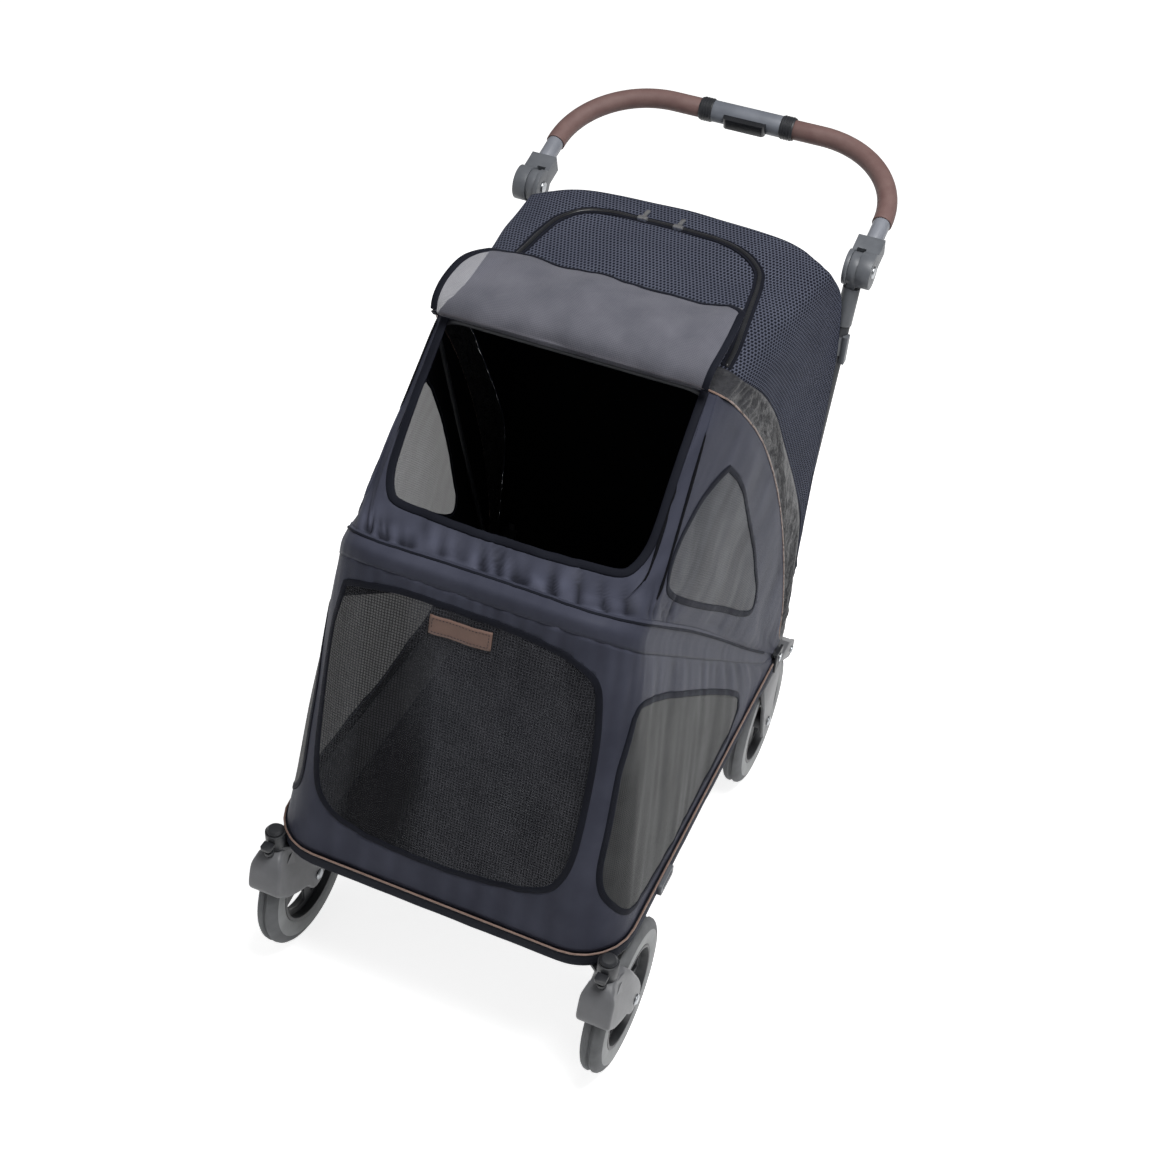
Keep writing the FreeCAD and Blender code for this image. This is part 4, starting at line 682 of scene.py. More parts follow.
def strip(name, path, normals, section, finish, closed=False):
    """Sweep a closed section along a line on the cloth: tape, piping or a seam."""
    path, normals, section = np.asarray(path), np.asarray(normals), np.asarray(section)
    if closed:
        tangents = np.roll(path, -1, axis=0) - np.roll(path, 1, axis=0)
    else:
        tangents = np.gradient(path, axis=0)
    across = np.cross(tangents, normals)
    across /= np.linalg.norm(across, axis=1, keepdims=True)
    out = np.cross(across, tangents)
    out /= np.linalg.norm(out, axis=1, keepdims=True)
    points = path[:, None] + across[:, None] * section[None, :, :1] + out[:, None] * section[None, :, 1:]
    if closed:
        points = np.concatenate([points, points[:1]])
    piece = cloth(name, points, finish)
    bpy.ops.object.mode_set(mode="EDIT")
    bpy.ops.mesh.select_all(action="SELECT")
    bpy.ops.mesh.remove_doubles(threshold=0.00001)
    if not closed:
        bpy.ops.mesh.fill_holes(sides=len(section))
    bpy.ops.object.mode_set(mode="OBJECT")
    return piece


def joined(name, pieces):
    """One object of several."""
    bpy.ops.object.select_all(action="DESELECT")
    for piece in pieces:
        piece.select_set(True)
    bpy.context.view_layer.objects.active = pieces[0]
    bpy.ops.object.join()
    pieces[0].name = name
    return pieces[0]


def share_of(piece):
    """Each vertex's share of the way up its panel."""
    values = np.empty(len(piece.data.vertices), np.float32)
    piece.data.attributes["share"].data.foreach_get("value", values)
    return values


def shares_near(grid, piece, start=0.0, end=1.0):
    """The share of the nearest point of a panel's grid, for what is sewn on it."""
    tree = KDTree(grid.shape[0] * grid.shape[1])
    for index, point in enumerate(grid.reshape(-1, 3)):
        tree.insert(point, index)
    tree.balance()
    rows = np.array([tree.find(vertex.co)[1] // grid.shape[1] for vertex in piece.data.vertices])
    return start + (end - start) * rows / (grid.shape[0] - 1)


def hang(piece, share):
    """Bake a piece's world transform into its mesh. Its share is not used."""
    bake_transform(piece)


def cut_size(grid):
    """Width, length and area of a panel laid flat."""
    u, v = lengths(grid)
    a, b = grid[1:, 1:] - grid[:-1, :-1], grid[1:, :-1] - grid[:-1, 1:]
    area = np.linalg.norm(np.cross(a, b), axis=2).sum() / 2
    return float(np.ptp(u, axis=1).max()), float(v[-1].max()), float(area)


def mesh_area(piece):
    """The area of all of a piece's faces."""
    return sum(face.area for face in piece.data.polygons)


# %% [markdown]
# ## The lines of the cabin
# The cabin's cloth hangs on three arches that fold about one axis: the rim round the top of the tray, the canopy
# bow, and the upright frame at the rear. Each line is given on the right-hand side, from low to the middle.

# %% The fold axis and the arches
PIVOT = Vector(joints["frame_fold"]["pos_m"])
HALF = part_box("side_panel_right")[1].x
RIM_ANGLE = radians(140.26)
RIM_TAPER = 0.0735


def cabin(points):
    """Points given in mm as how far each is inside the cloth's half width, behind the fold axis and above it."""
    return np.array([(HALF - inset / 1000, PIVOT.y + back / 1000, PIVOT.z + up / 1000) for inset, back, up in points])


CANOPY_EDGE = cabin(((1.5, 9, 26), (3.2, 10.5, 47), (5, 9, 102), (11, -31, 242), (19, -93, 382), (31, -173, 512),
                     (49, -253, 607), (65, -290.5, 644)))
CANOPY_TOP = cabin(((107, -301.5, 656), (HALF * 1000, -303, 659)))
OPENING_SIDE = cabin(((78, -299.5, 650), (76, -388.5, 570), (76, -476.5, 485)))
STRIP_EDGE = cabin(((4, 46, -6), (8, 54, 183), (14, 24, 288), (26, -82, 459), (31, -127.5, 527), (37, -187, 592),
                    (53, -229.5, 632), (79, -241.5, 650), (147, -248.5, 658), (HALF * 1000, -248.5, 660)))
REAR_EDGE = cabin(((5.5, 60.1, 137), (6.2, 64.9, 183), (7, 75.7, 288), (8, 94.1, 459), (11.5, 101.3, 527),
                   (17, 96, 592), (26, 68, 634), (45, 66, 650), (110, 99, 656),
                   (HALF * 1000, 111.5, 657)))


def rim_point(x, along):
    """A point in the plane of the rim, so far from the fold axis."""
    return np.array((x, PIVOT.y + along * cos(RIM_ANGLE), PIVOT.z + along * sin(RIM_ANGLE)))


CORNER, FRONT = 0.6635, 0.7335  # where the rim's front corners start, and its front run, from the fold axis
CORNER_MIDDLE = HALF - 0.124


def rim_side(along):
    """A point of the rim's straight side, which draws in towards the front."""
    return rim_point(HALF - RIM_TAPER * along, along)


def rim_corner(angle):
    """A point of the rim's front corner, at an angle from its side."""
    wide = HALF - RIM_TAPER * CORNER - CORNER_MIDDLE
    return rim_point(CORNER_MIDDLE + wide * cos(angle), CORNER + (FRONT - CORNER) * sin(angle))


CORNER_ANGLES = [pi / 2 * step / 6 for step in range(1, 7)]
FRONT_SHARES = [step / 6 for step in range(5, -1, -1)]
canopy_side = smooth(CANOPY_EDGE, 2)
rim = [rim_side(0.032 + (CORNER - 0.032) * step / 14) for step in range(15)]
rim += [rim_corner(angle) for angle in CORNER_ANGLES]
rim = np.array(rim + [rim[-1] * (share, 1, 1) for share in FRONT_SHARES])
print("rim:", len(rim), "points a side, front at", rim[-1].round(3))

# %% [markdown]
# ## The tray's cloth
# One piece of satin polyester runs from the left fold joint round the front to the right one. It is stretched
# between the base frame and the rim bow, so it is nearly flat, with soft pulls that run down from the rim and
# little tucks where it turns the front corners.

# %% The tray's grid
TRAY_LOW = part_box("tray_board")[1].z + 0.0065
FRONT_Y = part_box("front_panel")[0].y
TRAY_CORNER = 0.0735
REAR_Y = PIVOT.y - 0.0235

low = [(HALF, REAR_Y + (FRONT_Y + TRAY_CORNER - REAR_Y) * step / 14, TRAY_LOW) for step in range(15)]
low += [(HALF - TRAY_CORNER * (1 - cos(angle)), FRONT_Y + TRAY_CORNER * (1 - sin(angle)), TRAY_LOW)
        for angle in CORNER_ANGLES]
low = np.array(low + [(low[-1][0] * share, FRONT_Y, TRAY_LOW) for share in FRONT_SHARES])

SEAM_BELOW, SEAM_ABOVE = 0.018, 0.022


def short_of(line, towards, gap):
    """The line moved a little towards another, and less where they are close together."""
    way = towards - line
    reach = np.linalg.norm(way, axis=1, keepdims=True)
    return line + way * np.minimum(gap / np.maximum(reach, 1e-9), 0.3)


top = short_of(rim, low, SEAM_BELOW)
rows = [low + (top - low) * share for share in (0, 0.25, 0.5, 0.75, 1)]
tray = smooth_grid([arch(row) for row in rows], 14, 6)

pulls = wavering(tray, 0.035, 0.5, 3.1) * 0.0016 + wavering(tray, 0.12, 0.25, 8.4) * 0.0030
near_rim = np.linspace(0, 1, tray.shape[0])[:, None] ** 5
pulls += near_rim * wavering(tray, 0.020, 0.12, 5.5) * 0.0016
tray = tray + outwards(tray) * (pulls * hold_edges(tray))[..., None]
tray_cloth = cloth("tray_cloth", tray, satin, lining)
mark_folds(tray_cloth, pulls, 0.0035)
print("tray cloth:", tray.shape, "cut", [round(s, 3) for s in cut_size(tray)])

# %% [markdown]
# ## Windows in the tray
# The front and both sides have a window of netting. Each outline is drawn flat and carried on to the cloth, the
# faces inside it are parted from the panel, and a folded tape covers the raw edge, as on the real thing.

# %% The windows' outlines, in metres
FRONT_WINDOW = [(-0.178, 0.666), (-0.098, 0.686), (0.013, 0.687), (0.120, 0.677), (0.166, 0.655), (0.180, 0.602),
                (0.184, 0.518), (0.182, 0.417), (0.170, 0.365), (0.145, 0.336), (0.080, 0.319), (-0.025, 0.314),
                (-0.128, 0.321), (-0.176, 0.346), (-0.193, 0.401), (-0.195, 0.521), (-0.191, 0.609)]
TRAY_SIDE_WINDOW = [(-0.381, 0.590), (-0.345, 0.591), (-0.202, 0.487), (-0.028, 0.345), (-0.006, 0.306),
                    (-0.024, 0.290), (-0.087, 0.284), (-0.168, 0.280), (-0.283, 0.280), (-0.370, 0.284),
                    (-0.430, 0.298), (-0.456, 0.330), (-0.458, 0.370), (-0.437, 0.444), (-0.410, 0.527)]
TAPE = tape_section(0.009, 0.0012)

tray_tree = tree_of(tray_cloth)
tray_nets, tray_tapes = [], []
points, normals = drawn_on(tray_tree, FRONT_WINDOW, 1, -1.0)
tray_nets.append(cut_out(tray_cloth, points, 1, "front_window"))
tray_tapes.append(strip("front_window_tape", points, normals, TAPE, tape, closed=True))
for side, sign in (("left", -1), ("right", 1)):
    points, normals = drawn_on(tray_tree, TRAY_SIDE_WINDOW, 0, sign * 1.0)
    tray_nets.append(cut_out(tray_cloth, points, 0, "tray_window_" + side))
    tray_tapes.append(strip("tray_window_tape_" + side, points, normals, TAPE, tape, closed=True))
for net in tray_nets:
    net.data.materials.clear()
    net.data.materials.append(front_net if net.name == "front_window" else side_net)
thicken(tray_cloth, 0.0012, lined=True)
print("tray windows:", [(net.name, len(net.data.polygons)) for net in tray_nets])

# %% [markdown]
# ## The hood
# The hood joins the rim to the canopy bow and leaves a big opening above its front shelf. Its corners are the
# hardest part of the pattern: six columns turn from the sides to the edge of the opening.

# %% The hood's grid
hood_rows = []
for number, share in enumerate((0, 0.25, 0.5, 0.75, 1)):
    line = rim[:15] + (canopy_side - rim[:15]) * share
    target = (rim[20], OPENING_SIDE[2], OPENING_SIDE[1], (OPENING_SIDE[0] + OPENING_SIDE[1]) / 2,
              OPENING_SIDE[0])[number]
    turn = rim[15:21] if number == 0 else [line[-1] + (target - line[-1]) * step / 6 for step in range(1, 7)]
    sag = (0, 0.009, 0, 0, 0)[number]
    front = [turn[-1] * (share_x, 1, 1) - np.array((0, sag, sag * 0.55)) * (1 - share_x * 0.6)
             for share_x in FRONT_SHARES]
    hood_rows.append(np.concatenate([line, turn, front]))
hood_rows[0] = short_of(rim, hood_rows[1], SEAM_ABOVE)
hood = smooth_grid([arch(row) for row in hood_rows], 12, 6)

from_rim = lengths(hood)[1]
on_shelf = np.exp(-(np.abs(hood[..., 0]) / 0.205) ** 8) * (hood[..., 1] < -0.25)
gathered = np.exp(-(from_rim / 0.050) ** 2) * np.clip(from_rim / 0.012, 0, 1)
creases = 0.15 - (1 - np.abs(wavering(hood, 0.034, 0.22, 2.7, lean=0.45))) ** 4
puckers = creases * 0.0120 * gathered * on_shelf
puckers += (wavering(hood, 0.055, 0.05, 1.3, lean=-0.4) - 0.4) * 0.0030 * gathered * on_shelf
broad = wavering(hood, 0.14, 0.22, 6.2) * 0.0035
fine = wavering(hood, 0.028, 0.20, 9.9) * 0.0009


def tucks(grid, from_seam, places, depth=0.0022):
    """Little stitched tucks that start at the rim's seam on both sides and fade out."""
    on_side = np.abs(grid[..., 0]) > 0.185
    fade = np.exp(-(from_seam / 0.028) ** 2) * np.clip(from_seam / 0.006, 0, 1)
    return sum(np.exp(-((grid[..., 1] - y) / 0.0030) ** 2) for y in places) * on_side * fade * depth


hood_tucks = tucks(hood, from_rim, (-0.292, -0.279, -0.266))
flat_at_hem = 1 - on_shelf * np.exp(-((from_rim - 0.080) / 0.024) ** 2)
ripples = (puckers + (broad + fine) * hold_edges(hood, 4)) * flat_at_hem
hood = hood + outwards(hood) * (ripples - hood_tucks)[..., None]
hood_cloth = cloth("hood_cloth", hood, satin, lining)
mark_folds(hood_cloth, ripples - hood_tucks, 0.0030)
hood_tree = tree_of(hood_cloth)
print("hood:", hood.shape, "cut", [round(s, 3) for s in cut_size(hood)])

# %% [markdown]
# ## The opening and the hood's windows
# The opening runs from the bow down both sides and across the shelf. Its cloth is cut out and thrown away, and the
# raw edge is taped; the two side windows are parted from the hood as the tray's are.

# %% The opening and the hood's side windows
OPENING = [(0.1770, 0.9070), (0.1770, 0.880), (0.1775, 0.830), (0.1775, 0.790), (0.175, 0.765), (0.166, 0.7485),
           (0.150, 0.7415), (0.100, 0.7395), (0.050, 0.7380), (0, 0.7375)]
opening_half = smooth(OPENING, 6)
opening_flat = np.concatenate([opening_half, (opening_half * (-1, 1))[::-1][1:]])
HOOD_WINDOW = [(-0.104, 0.790), (-0.180, 0.787), (-0.240, 0.765), (-0.275, 0.735), (-0.264, 0.697), (-0.177, 0.619),
               (-0.080, 0.540), (-0.015, 0.485), (0.028, 0.460), (0.040, 0.486), (0.026, 0.530), (0.001, 0.607),
               (-0.047, 0.706), (-0.080, 0.762)]

points, normals = drawn_on(hood_tree, opening_flat, 1, 0.1, steps=1, closed=False, spacing=0.005)
normals = -normals
uncut_area = mesh_area(hood_cloth)
cut_out(hood_cloth, np.concatenate([points, points[-1:] + (0, 0, 0.1), points[:1] + (0, 0, 0.1)]), 1)
opening_area = uncut_area - mesh_area(hood_cloth)
hem = strip("opening_hem", points, normals, tape_section(0.011, 0.0019), tape)

hood_nets, hood_tapes = [], [hem]
for side, sign in (("left", -1), ("right", 1)):
    points, normals = drawn_on(hood_tree, HOOD_WINDOW, 0, sign * 1.0)
    net = cut_out(hood_cloth, points, 0, "hood_window_" + side)
    net.data.materials.clear()
    net.data.materials.append(hood_net)
    hood_nets.append(net)
    hood_tapes.append(strip("hood_window_tape_" + side, points, normals, TAPE, tape, closed=True))
thicken(hood_cloth, 0.0012, lined=True)
print("hood windows:", [(net.name, len(net.data.polygons)) for net in hood_nets])

# %% [markdown]
# ## The rim sleeve
# The tray and the hood meet in a sleeve round the rim bow, which shows as a soft rounded edge with a seam above
# it. Its section is a curve that leaves each panel along its own slope, so there is no step.

# %% The sleeve
crease = smooth(arch(rim), 6)
below, above = tray[-1], hood[0]
bulge = (crease - below) / np.linalg.norm(crease - below, axis=1, keepdims=True)
bulge += (crease - above) / np.linalg.norm(crease - above, axis=1, keepdims=True)
bulge /= np.linalg.norm(bulge, axis=1, keepdims=True)
crown = crease + bulge * 0.002
sleeve_rows = []
for t in np.linspace(-0.03, 1.03, 13):
    sleeve_rows.append((1 - t) ** 3 * below + 3 * t * (1 - t) * crown + t ** 3 * above)
sleeve = np.array(sleeve_rows)
sleeve = sleeve + outwards(sleeve) * (wavering(sleeve, 0.02, 0.2, 4.4) * 0.0006 + 0.0005)[..., None]
rim_sleeve = cloth("rim_sleeve", sleeve, satin, lining)
thicken(rim_sleeve, 0.0012, lined=True)
seam_path, seam_normals = sleeve[-2], outwards(sleeve)[-2]
seam_line = even(seam_path, 0.006)
nearest = np.linspace(0, len(seam_path) - 1, len(seam_line)).astype(int)
SEAM_ENDS = 8  # points 6 mm apart, left off at both ends of the seam, which lie beside the fold pins
rim_seam = strip("rim_seam", seam_line[SEAM_ENDS:-SEAM_ENDS], seam_normals[nearest][SEAM_ENDS:-SEAM_ENDS],
                 tape_section(0.004, 0.0011), tape)
print("sleeve:", sleeve.shape)

# %% [markdown]
# ## The gathered strip, the roof and the rear wall
# Behind the canopy bow a strip of thin crinkled nylon is drawn up on elastic. The roof, its sides and the rear
# wall are spacer knit.

# %% Gathered strip
strip_side = smooth(STRIP_EDGE, 3)
front_side = smooth(np.concatenate([CANOPY_EDGE, CANOPY_TOP]), 3)
gather_rows = [front_side + (strip_side - front_side) * share for share in (0.0, 0.5, 1.0)]
strip_grid = smooth_grid([arch(row) for row in gather_rows], 8, 9)
ruffles = wavering(strip_grid, 0.010, 0.05, 1.9, detail=3) * 0.0034
ruffles += wavering(strip_grid, 0.022, 0.03, 7.1, detail=2) * 0.0026
strip_grid = strip_grid + outwards(strip_grid) * (ruffles * hold_edges(strip_grid, 3) + 0.0008)[..., None]
gathered_cloth = cloth("gathered_cloth", strip_grid, gathers, gathers)
thicken(gathered_cloth, 0.0008)
edge_line = even(smooth(arch(front_side), 1), 0.005)
strip_tree = tree_of(gathered_cloth)
edge_normals = np.array([strip_tree.find_nearest(Vector(p))[1] for p in edge_line])
canopy_piping = strip("canopy_piping", edge_line, edge_normals, round_section(0.0014), piping)
print("gathered strip:", strip_grid.shape)

# %% [markdown]
# ## The roof
# One piece of spacer knit goes over the roof and down both sides, slack enough to wave a little between its edges.

# %% Roof and its sides
roof_rows = [smooth(STRIP_EDGE, 3) + (smooth(REAR_EDGE, 3) - smooth(STRIP_EDGE, 3)) * share
             for share in (0, 0.33, 0.67, 1)]
roof = smooth_grid([arch(row) for row in roof_rows], 12, 5)
roof_slack = wavering(roof, 0.12, 0.12, 3.3) * 0.0035
roof_slack += wavering(roof, 0.03, 0.09, 5.1) * 0.0006
roof = roof + outwards(roof) * (roof_slack * hold_edges(roof))[..., None]
roof_cloth = cloth("roof_cloth", roof, knit, lining)
roof_tree = tree_of(roof_cloth)
thicken(roof_cloth, 0.0020, lined=True)
print("roof:", roof.shape)

# %% [markdown]
# ## The rear wall
# The rear wall is a second piece of knit in front of the uprights. It rides with them, so it is drawn a little short
# of the roof's sides all round and leans back as the tubes do.

# %% Rear wall
MARGIN = 0.3  # in mm, between the wall and the roof's sides


def tube_y(height):
    """How far back the upright tubes are at a height above the fold axis, in mm."""
    return 61.5 + (121.3 - 61.5) * (height - 34) / (592 - 34)


wall_rows = []
shares = np.array((1, 0.85, 0.6, 0.3, 0, -0.3, -0.6, -0.85, -1))
for up, inset, forward in ((-8, 6, 0), (40, 5.5, 0), (70, 5.2, 0), (137, 5.5, 0), (183, 6.2, 0), (288, 7, 0),
                           (362, 7.5, 0), (459, 8, 0), (527, 11.5, 0), (592, 17, 12), (622, 23, 34)):
    wall_rows.append([(share * (HALF * 1000 - inset - MARGIN) / 1000,
                       PIVOT.y + (tube_y(up) - 13 - forward * abs(share) ** 3) / 1000, PIVOT.z + up / 1000)
                      for share in shares])
wall_rows.append([(share * (HALF * 1000 - 28 - MARGIN) / 1000, PIVOT.y + (109.5 - 41.5 * abs(share) ** 3) / 1000,
                   PIVOT.z + (653 - 16 * abs(share) ** 7) / 1000) for share in shares])
wall = smooth_grid(wall_rows, 7, 9)
wall = wall + outwards(wall) * ((wavering(wall, 0.14, 0.2, 2.2) * 0.004 - 0.001) * hold_edges(wall))[..., None]
rear_wall = cloth("rear_wall", wall, knit, lining)
thicken(rear_wall, 0.0020, lined=True)
print("rear wall:", wall.shape)

# %% [markdown]
# ## The roof's zip
# A zip outlines the part of the roof that opens. It is a tape, a raised coil of teeth, and a stitched lip at each
# side; both ends run under the flap.

# %% The zip
ZIP_LINE = [(0.181, -0.062), (0.178, -0.020), (0.171, 0.030), (0.162, 0.090), (0.153, 0.140), (0.140, 0.176),
            (0.100, 0.208), (0.050, 0.2215), (-0.010, 0.2250), (-0.080, 0.2225), (-0.128, 0.2100), (-0.153, 0.176),
            (-0.160, 0.130), (-0.160, 0.070), (-0.166, 0.000), (-0.170, -0.062)]
points, normals = drawn_on(roof_tree, ZIP_LINE, 2, 1.3, closed=False, spacing=0.004)
zip_tape = strip("zip_tape", points, normals, tape_section(0.015, 0.0016), tape)
raised = points + normals * 0.0012
zip_coil = strip("zip_coil", raised, normals, tape_section(0.0058, 0.0022), button_plastic)
aside = np.cross(normals, np.gradient(points, axis=0)) / 0.004 * 0.0062  # the points are 4 mm apart
inner = strip("zip_lip_inner", points + aside + normals * 0.001, normals, round_section(0.0013, 6), tape)
outer = strip("zip_lip_outer", points - aside + normals * 0.001, normals, round_section(0.0013, 6), tape)
roof_zip = joined("roof_zip", [zip_tape, zip_coil, inner, outer])
print("zip:", round(float(np.linalg.norm(np.diff(points, axis=0), axis=1).sum()), 3), "m long")

# %% [markdown]
# ## The flap
# The netting flap that closes the opening is rolled back on to the roof, with its free edge tucked below. It is a
# soft tube of netting, slack in the middle, with a taped edge.

# %% The flap
FLAP_PROFILE = ((-308.5, 655.5), (-311.5, 664), (-301.5, 680), (-273.5, 693), (-233.5, 702), (-198.5, 704),
                (-181.5, 697), (-178.5, 682), (-187.5, 670), (-213.5, 667), (-248.5, 666))
FLAP_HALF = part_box("front_flap")[1].x - 0.001
# the left end is drawn in towards the back, where the flap's cut has a round corner
LEFT_END = (1, 1.01, 1.02, 1.02, 0.97, 0.86, 0.80, 0.80, 0.84, 0.88, 0.90)
RIGHT_END = (0.97, 0.98, 0.99, 1, 1, 0.98, 0.95, 0.93, 0.92, 0.92, 0.92)
flap_rows = [[(share * FLAP_HALF * (left if share < 0 else right), PIVOT.y + y / 1000, PIVOT.z + z / 1000)
              for share in np.linspace(-1, 1, 9)] for (y, z), left, right in zip(FLAP_PROFILE, LEFT_END, RIGHT_END)]
flap_grid = smooth_grid(flap_rows, 6, 8)
slack = wavering(flap_grid, 0.09, 0.11, 4.8) * 0.0068 + wavering(flap_grid, 0.03, 0.10, 2.4) * 0.0012
flap_grid = flap_grid - outwards(flap_grid) * (slack * hold_edges(flap_grid, 6))[..., None]
flap_cloth = cloth("flap_cloth", flap_grid, flap_net)
BACK = 33  # the row where the flap turns under
around = [(row, 0) for row in range(0, BACK - 2, 2)] + [(BACK, column) for column in range(3, 62, 2)]
around += [(row, 64) for row in range(BACK - 3, -1, -2)]
edge_path = even(smooth(np.array([flap_grid[at] for at in around]), 3), 0.004)
flap_tree = tree_of(flap_cloth)
edge_normals = []
for point in edge_path:
    normal = flap_tree.find_nearest(Vector(point))[1]
    edge_normals.append(normal if normal.z > -0.2 else -normal)
flap_binding = strip("flap_binding", edge_path, np.array(edge_normals), tape_section(0.009, 0.0016), tape)
print("flap:", flap_grid.shape)

# %% [markdown]
# ## The base band and the piping
# A band of coated canvas covers the base frame, and a thin copper cord is sewn in where the tray starts. The cord
# could be a curve with a bevel, but a strip swept along the band's edge keeps its UVs in metres.

# %% Band and piping
low_line = even(arch(low), 0.006)
sideways = np.gradient(low_line, axis=0)
out = np.cross(sideways, (0, 0, 1))
out /= np.linalg.norm(out, axis=1, keepdims=True)
band_rows = [low_line + out * grow + np.array((0, 0, z - TRAY_LOW))
             for grow, z in ((0.0020, 0.2385), (0.0048, 0.2410), (0.0048, 0.2500), (0.0042, 0.2570), (0.0015, 0.2600))]
band_grid = smooth(np.array(band_rows), 3)
band_grid = band_grid + outwards(band_grid) * (wavering(band_grid, 0.06, 0.05, 1.2) * 0.0006)[..., None]
base_band = cloth("base_band", band_grid, band_cloth, lining)
thicken(base_band, 0.0012, lined=True)
piping_line = low_line + out * 0.0036 + np.array((0, 0, 0.0010))
tray_piping = strip("tray_piping", piping_line, out, round_section(0.0014), piping)
print("band:", band_grid.shape)

# %% [markdown]
# ## The rear hem
# The rear wall folds down with the uprights, so it can't be sewn to the tray. A stiffened hem stands up behind the
# tray's board instead and closes the space below the wall, which turns just clear of it.

# %% Rear hem
HEM_SECTION = ((0.1980, 0.2536), (0.2050, 0.2546), (0.2110, 0.2575), (0.2150, 0.2620))
hem_rows = [[(x, y, z) for x in np.linspace(-0.238, 0.238, 9)] for y, z in HEM_SECTION]
hem_grid = smooth_grid(hem_rows, 4, 8)
hem_grid = hem_grid + outwards(hem_grid) * (wavering(hem_grid, 0.05, 0.05, 3.7) * 0.0004)[..., None]
rear_hem = cloth("rear_hem", hem_grid, lining, lining)
thicken(rear_hem, 0.0014)
print("rear hem:", hem_grid.shape)

# %% [markdown]
# ## The patch
# A small leatherette patch, left bare, is stitched to the tray above the window. It is laid on the cloth by rays
# from the front, so that it follows the pulls below it, and its stitches are short separate strips of thread.

# %% Patch
bpy.ops.object.select_all(action="DESELECT")
patch_flat = np.array([[(x, 0, z) for x in np.linspace(-0.052, 0.031, 22)] for z in np.linspace(0.648, 0.673, 8)])
hits = []
for point in patch_flat.reshape(-1, 3):
    hit, normal, index, distance = tray_tree.ray_cast(Vector((point[0], -1, point[2])), Vector((0, 1, 0)))
    hits.append(hit + normal * 0.0022)
patch_grid = np.array(hits).reshape(patch_flat.shape)
leather_patch = cloth("leather_patch", patch_grid, patch_leather)
thicken(leather_patch, 0.0018)
patch_normals = outwards(patch_grid)
stitches = []
inset = [(1, c) for c in range(1, 21)] + [(r, 20) for r in range(2, 7)] + [(6, c) for c in range(19, 0, -1)]
inset += [(r, 1) for r in range(5, 1, -1)]
stitch_line = even(np.array([patch_grid[at] for at in inset]), 0.0022)
stitch_normal = patch_normals[4, 11]
for start in range(0, len(stitch_line) - 1, 2):
    run = stitch_line[start:start + 2] + stitch_normal * 0.0002
    stitches.append(strip("stitch", run, np.array([stitch_normal] * 2), round_section(0.0004, 5), thread))
patch_stitching = joined("patch_stitching", stitches)
print("patch stitches:", len(stitches))

# %% [markdown]
# ## The cushion
# A foam pad in a microfibre cover lies on the tray's board. Its cover is swollen by a short cloth simulation, so
# that the sides round out between the corners.

# %% The cushion
cushion_low, cushion_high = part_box("floor_cushion")
bpy.ops.object.select_all(action="DESELECT")
bpy.ops.mesh.primitive_cube_add(size=1, location=(cushion_low + cushion_high) / 2)
cushion = bpy.context.object
cushion.name = "cushion"
cushion.scale = [high - low_side - 0.010 for low_side, high in zip(cushion_low, cushion_high)]
bpy.ops.object.transform_apply(location=True, rotation=True, scale=True)
bpy.ops.object.mode_set(mode="EDIT")
bpy.ops.mesh.select_all(action="SELECT")
bpy.ops.mesh.bevel(offset=0.006, segments=3, affect="EDGES")
bpy.ops.object.mode_set(mode="OBJECT")


def swollen(piece, voxel, pressure, cap):
    """Swell a closed cover with a short cloth simulation, and keep each point within a cap of where it was."""
    bpy.context.view_layer.objects.active = piece
    remesh = piece.modifiers.new("voxels", "REMESH")
    remesh.mode = "VOXEL"
    remesh.voxel_size = voxel
    bpy.ops.object.modifier_apply(modifier="voxels")
    start = np.array([vertex.co for vertex in piece.data.vertices])
    cover = piece.modifiers.new("cover", "CLOTH")
    cover.settings.use_pressure = True
    cover.settings.uniform_pressure_force = pressure
    cover.settings.effector_weights.gravity = 0
    for frame_number in range(1, 21):
        bpy.context.scene.frame_set(frame_number)
    shaped = piece.evaluated_get(bpy.context.evaluated_depsgraph_get())
    moved = np.array([vertex.co for vertex in shaped.data.vertices]) - start
    reach = np.linalg.norm(moved, axis=1, keepdims=True)
    moved *= np.minimum(1, cap / np.maximum(reach, 1e-9))
    piece.modifiers.remove(cover)
    bpy.context.scene.frame_set(1)
    piece.data.vertices.foreach_set("co", (start + moved).reshape(-1))


swollen(cushion, 0.006, 4, 0.005)
cushion.data.vertices.foreach_set("co", np.clip(
    np.array([vertex.co for vertex in cushion.data.vertices]),
    np.array(cushion_low) + (-0.002, -0.002, 0.0003), np.array(cushion_high) + (0.002, 0.002, 0.003)).reshape(-1))
bpy.context.view_layer.objects.active = cushion
subdivide = cushion.modifiers.new("smooth", "SUBSURF")
subdivide.levels = subdivide.render_levels = 1
bpy.ops.object.modifier_apply(modifier="smooth")
bpy.ops.object.shade_smooth()
cushion.data.materials.clear()
cushion.data.materials.append(microfibre)
bpy.ops.object.select_all(action="DESELECT")
cushion.select_set(True)
bpy.ops.object.mode_set(mode="EDIT")
bpy.ops.mesh.select_all(action="SELECT")
bpy.ops.uv.cube_project(cube_size=1.0, scale_to_bounds=False)
bpy.ops.object.mode_set(mode="OBJECT")
print("cushion:", len(cushion.data.polygons), "faces")

# %% [markdown]
# ## The handle's collars
# Where the leatherette grips meet the middle housing there is a black moulded collar with four fine ribs. Its
# profile is spun about the handle's line, and the second collar is a mirrored copy.

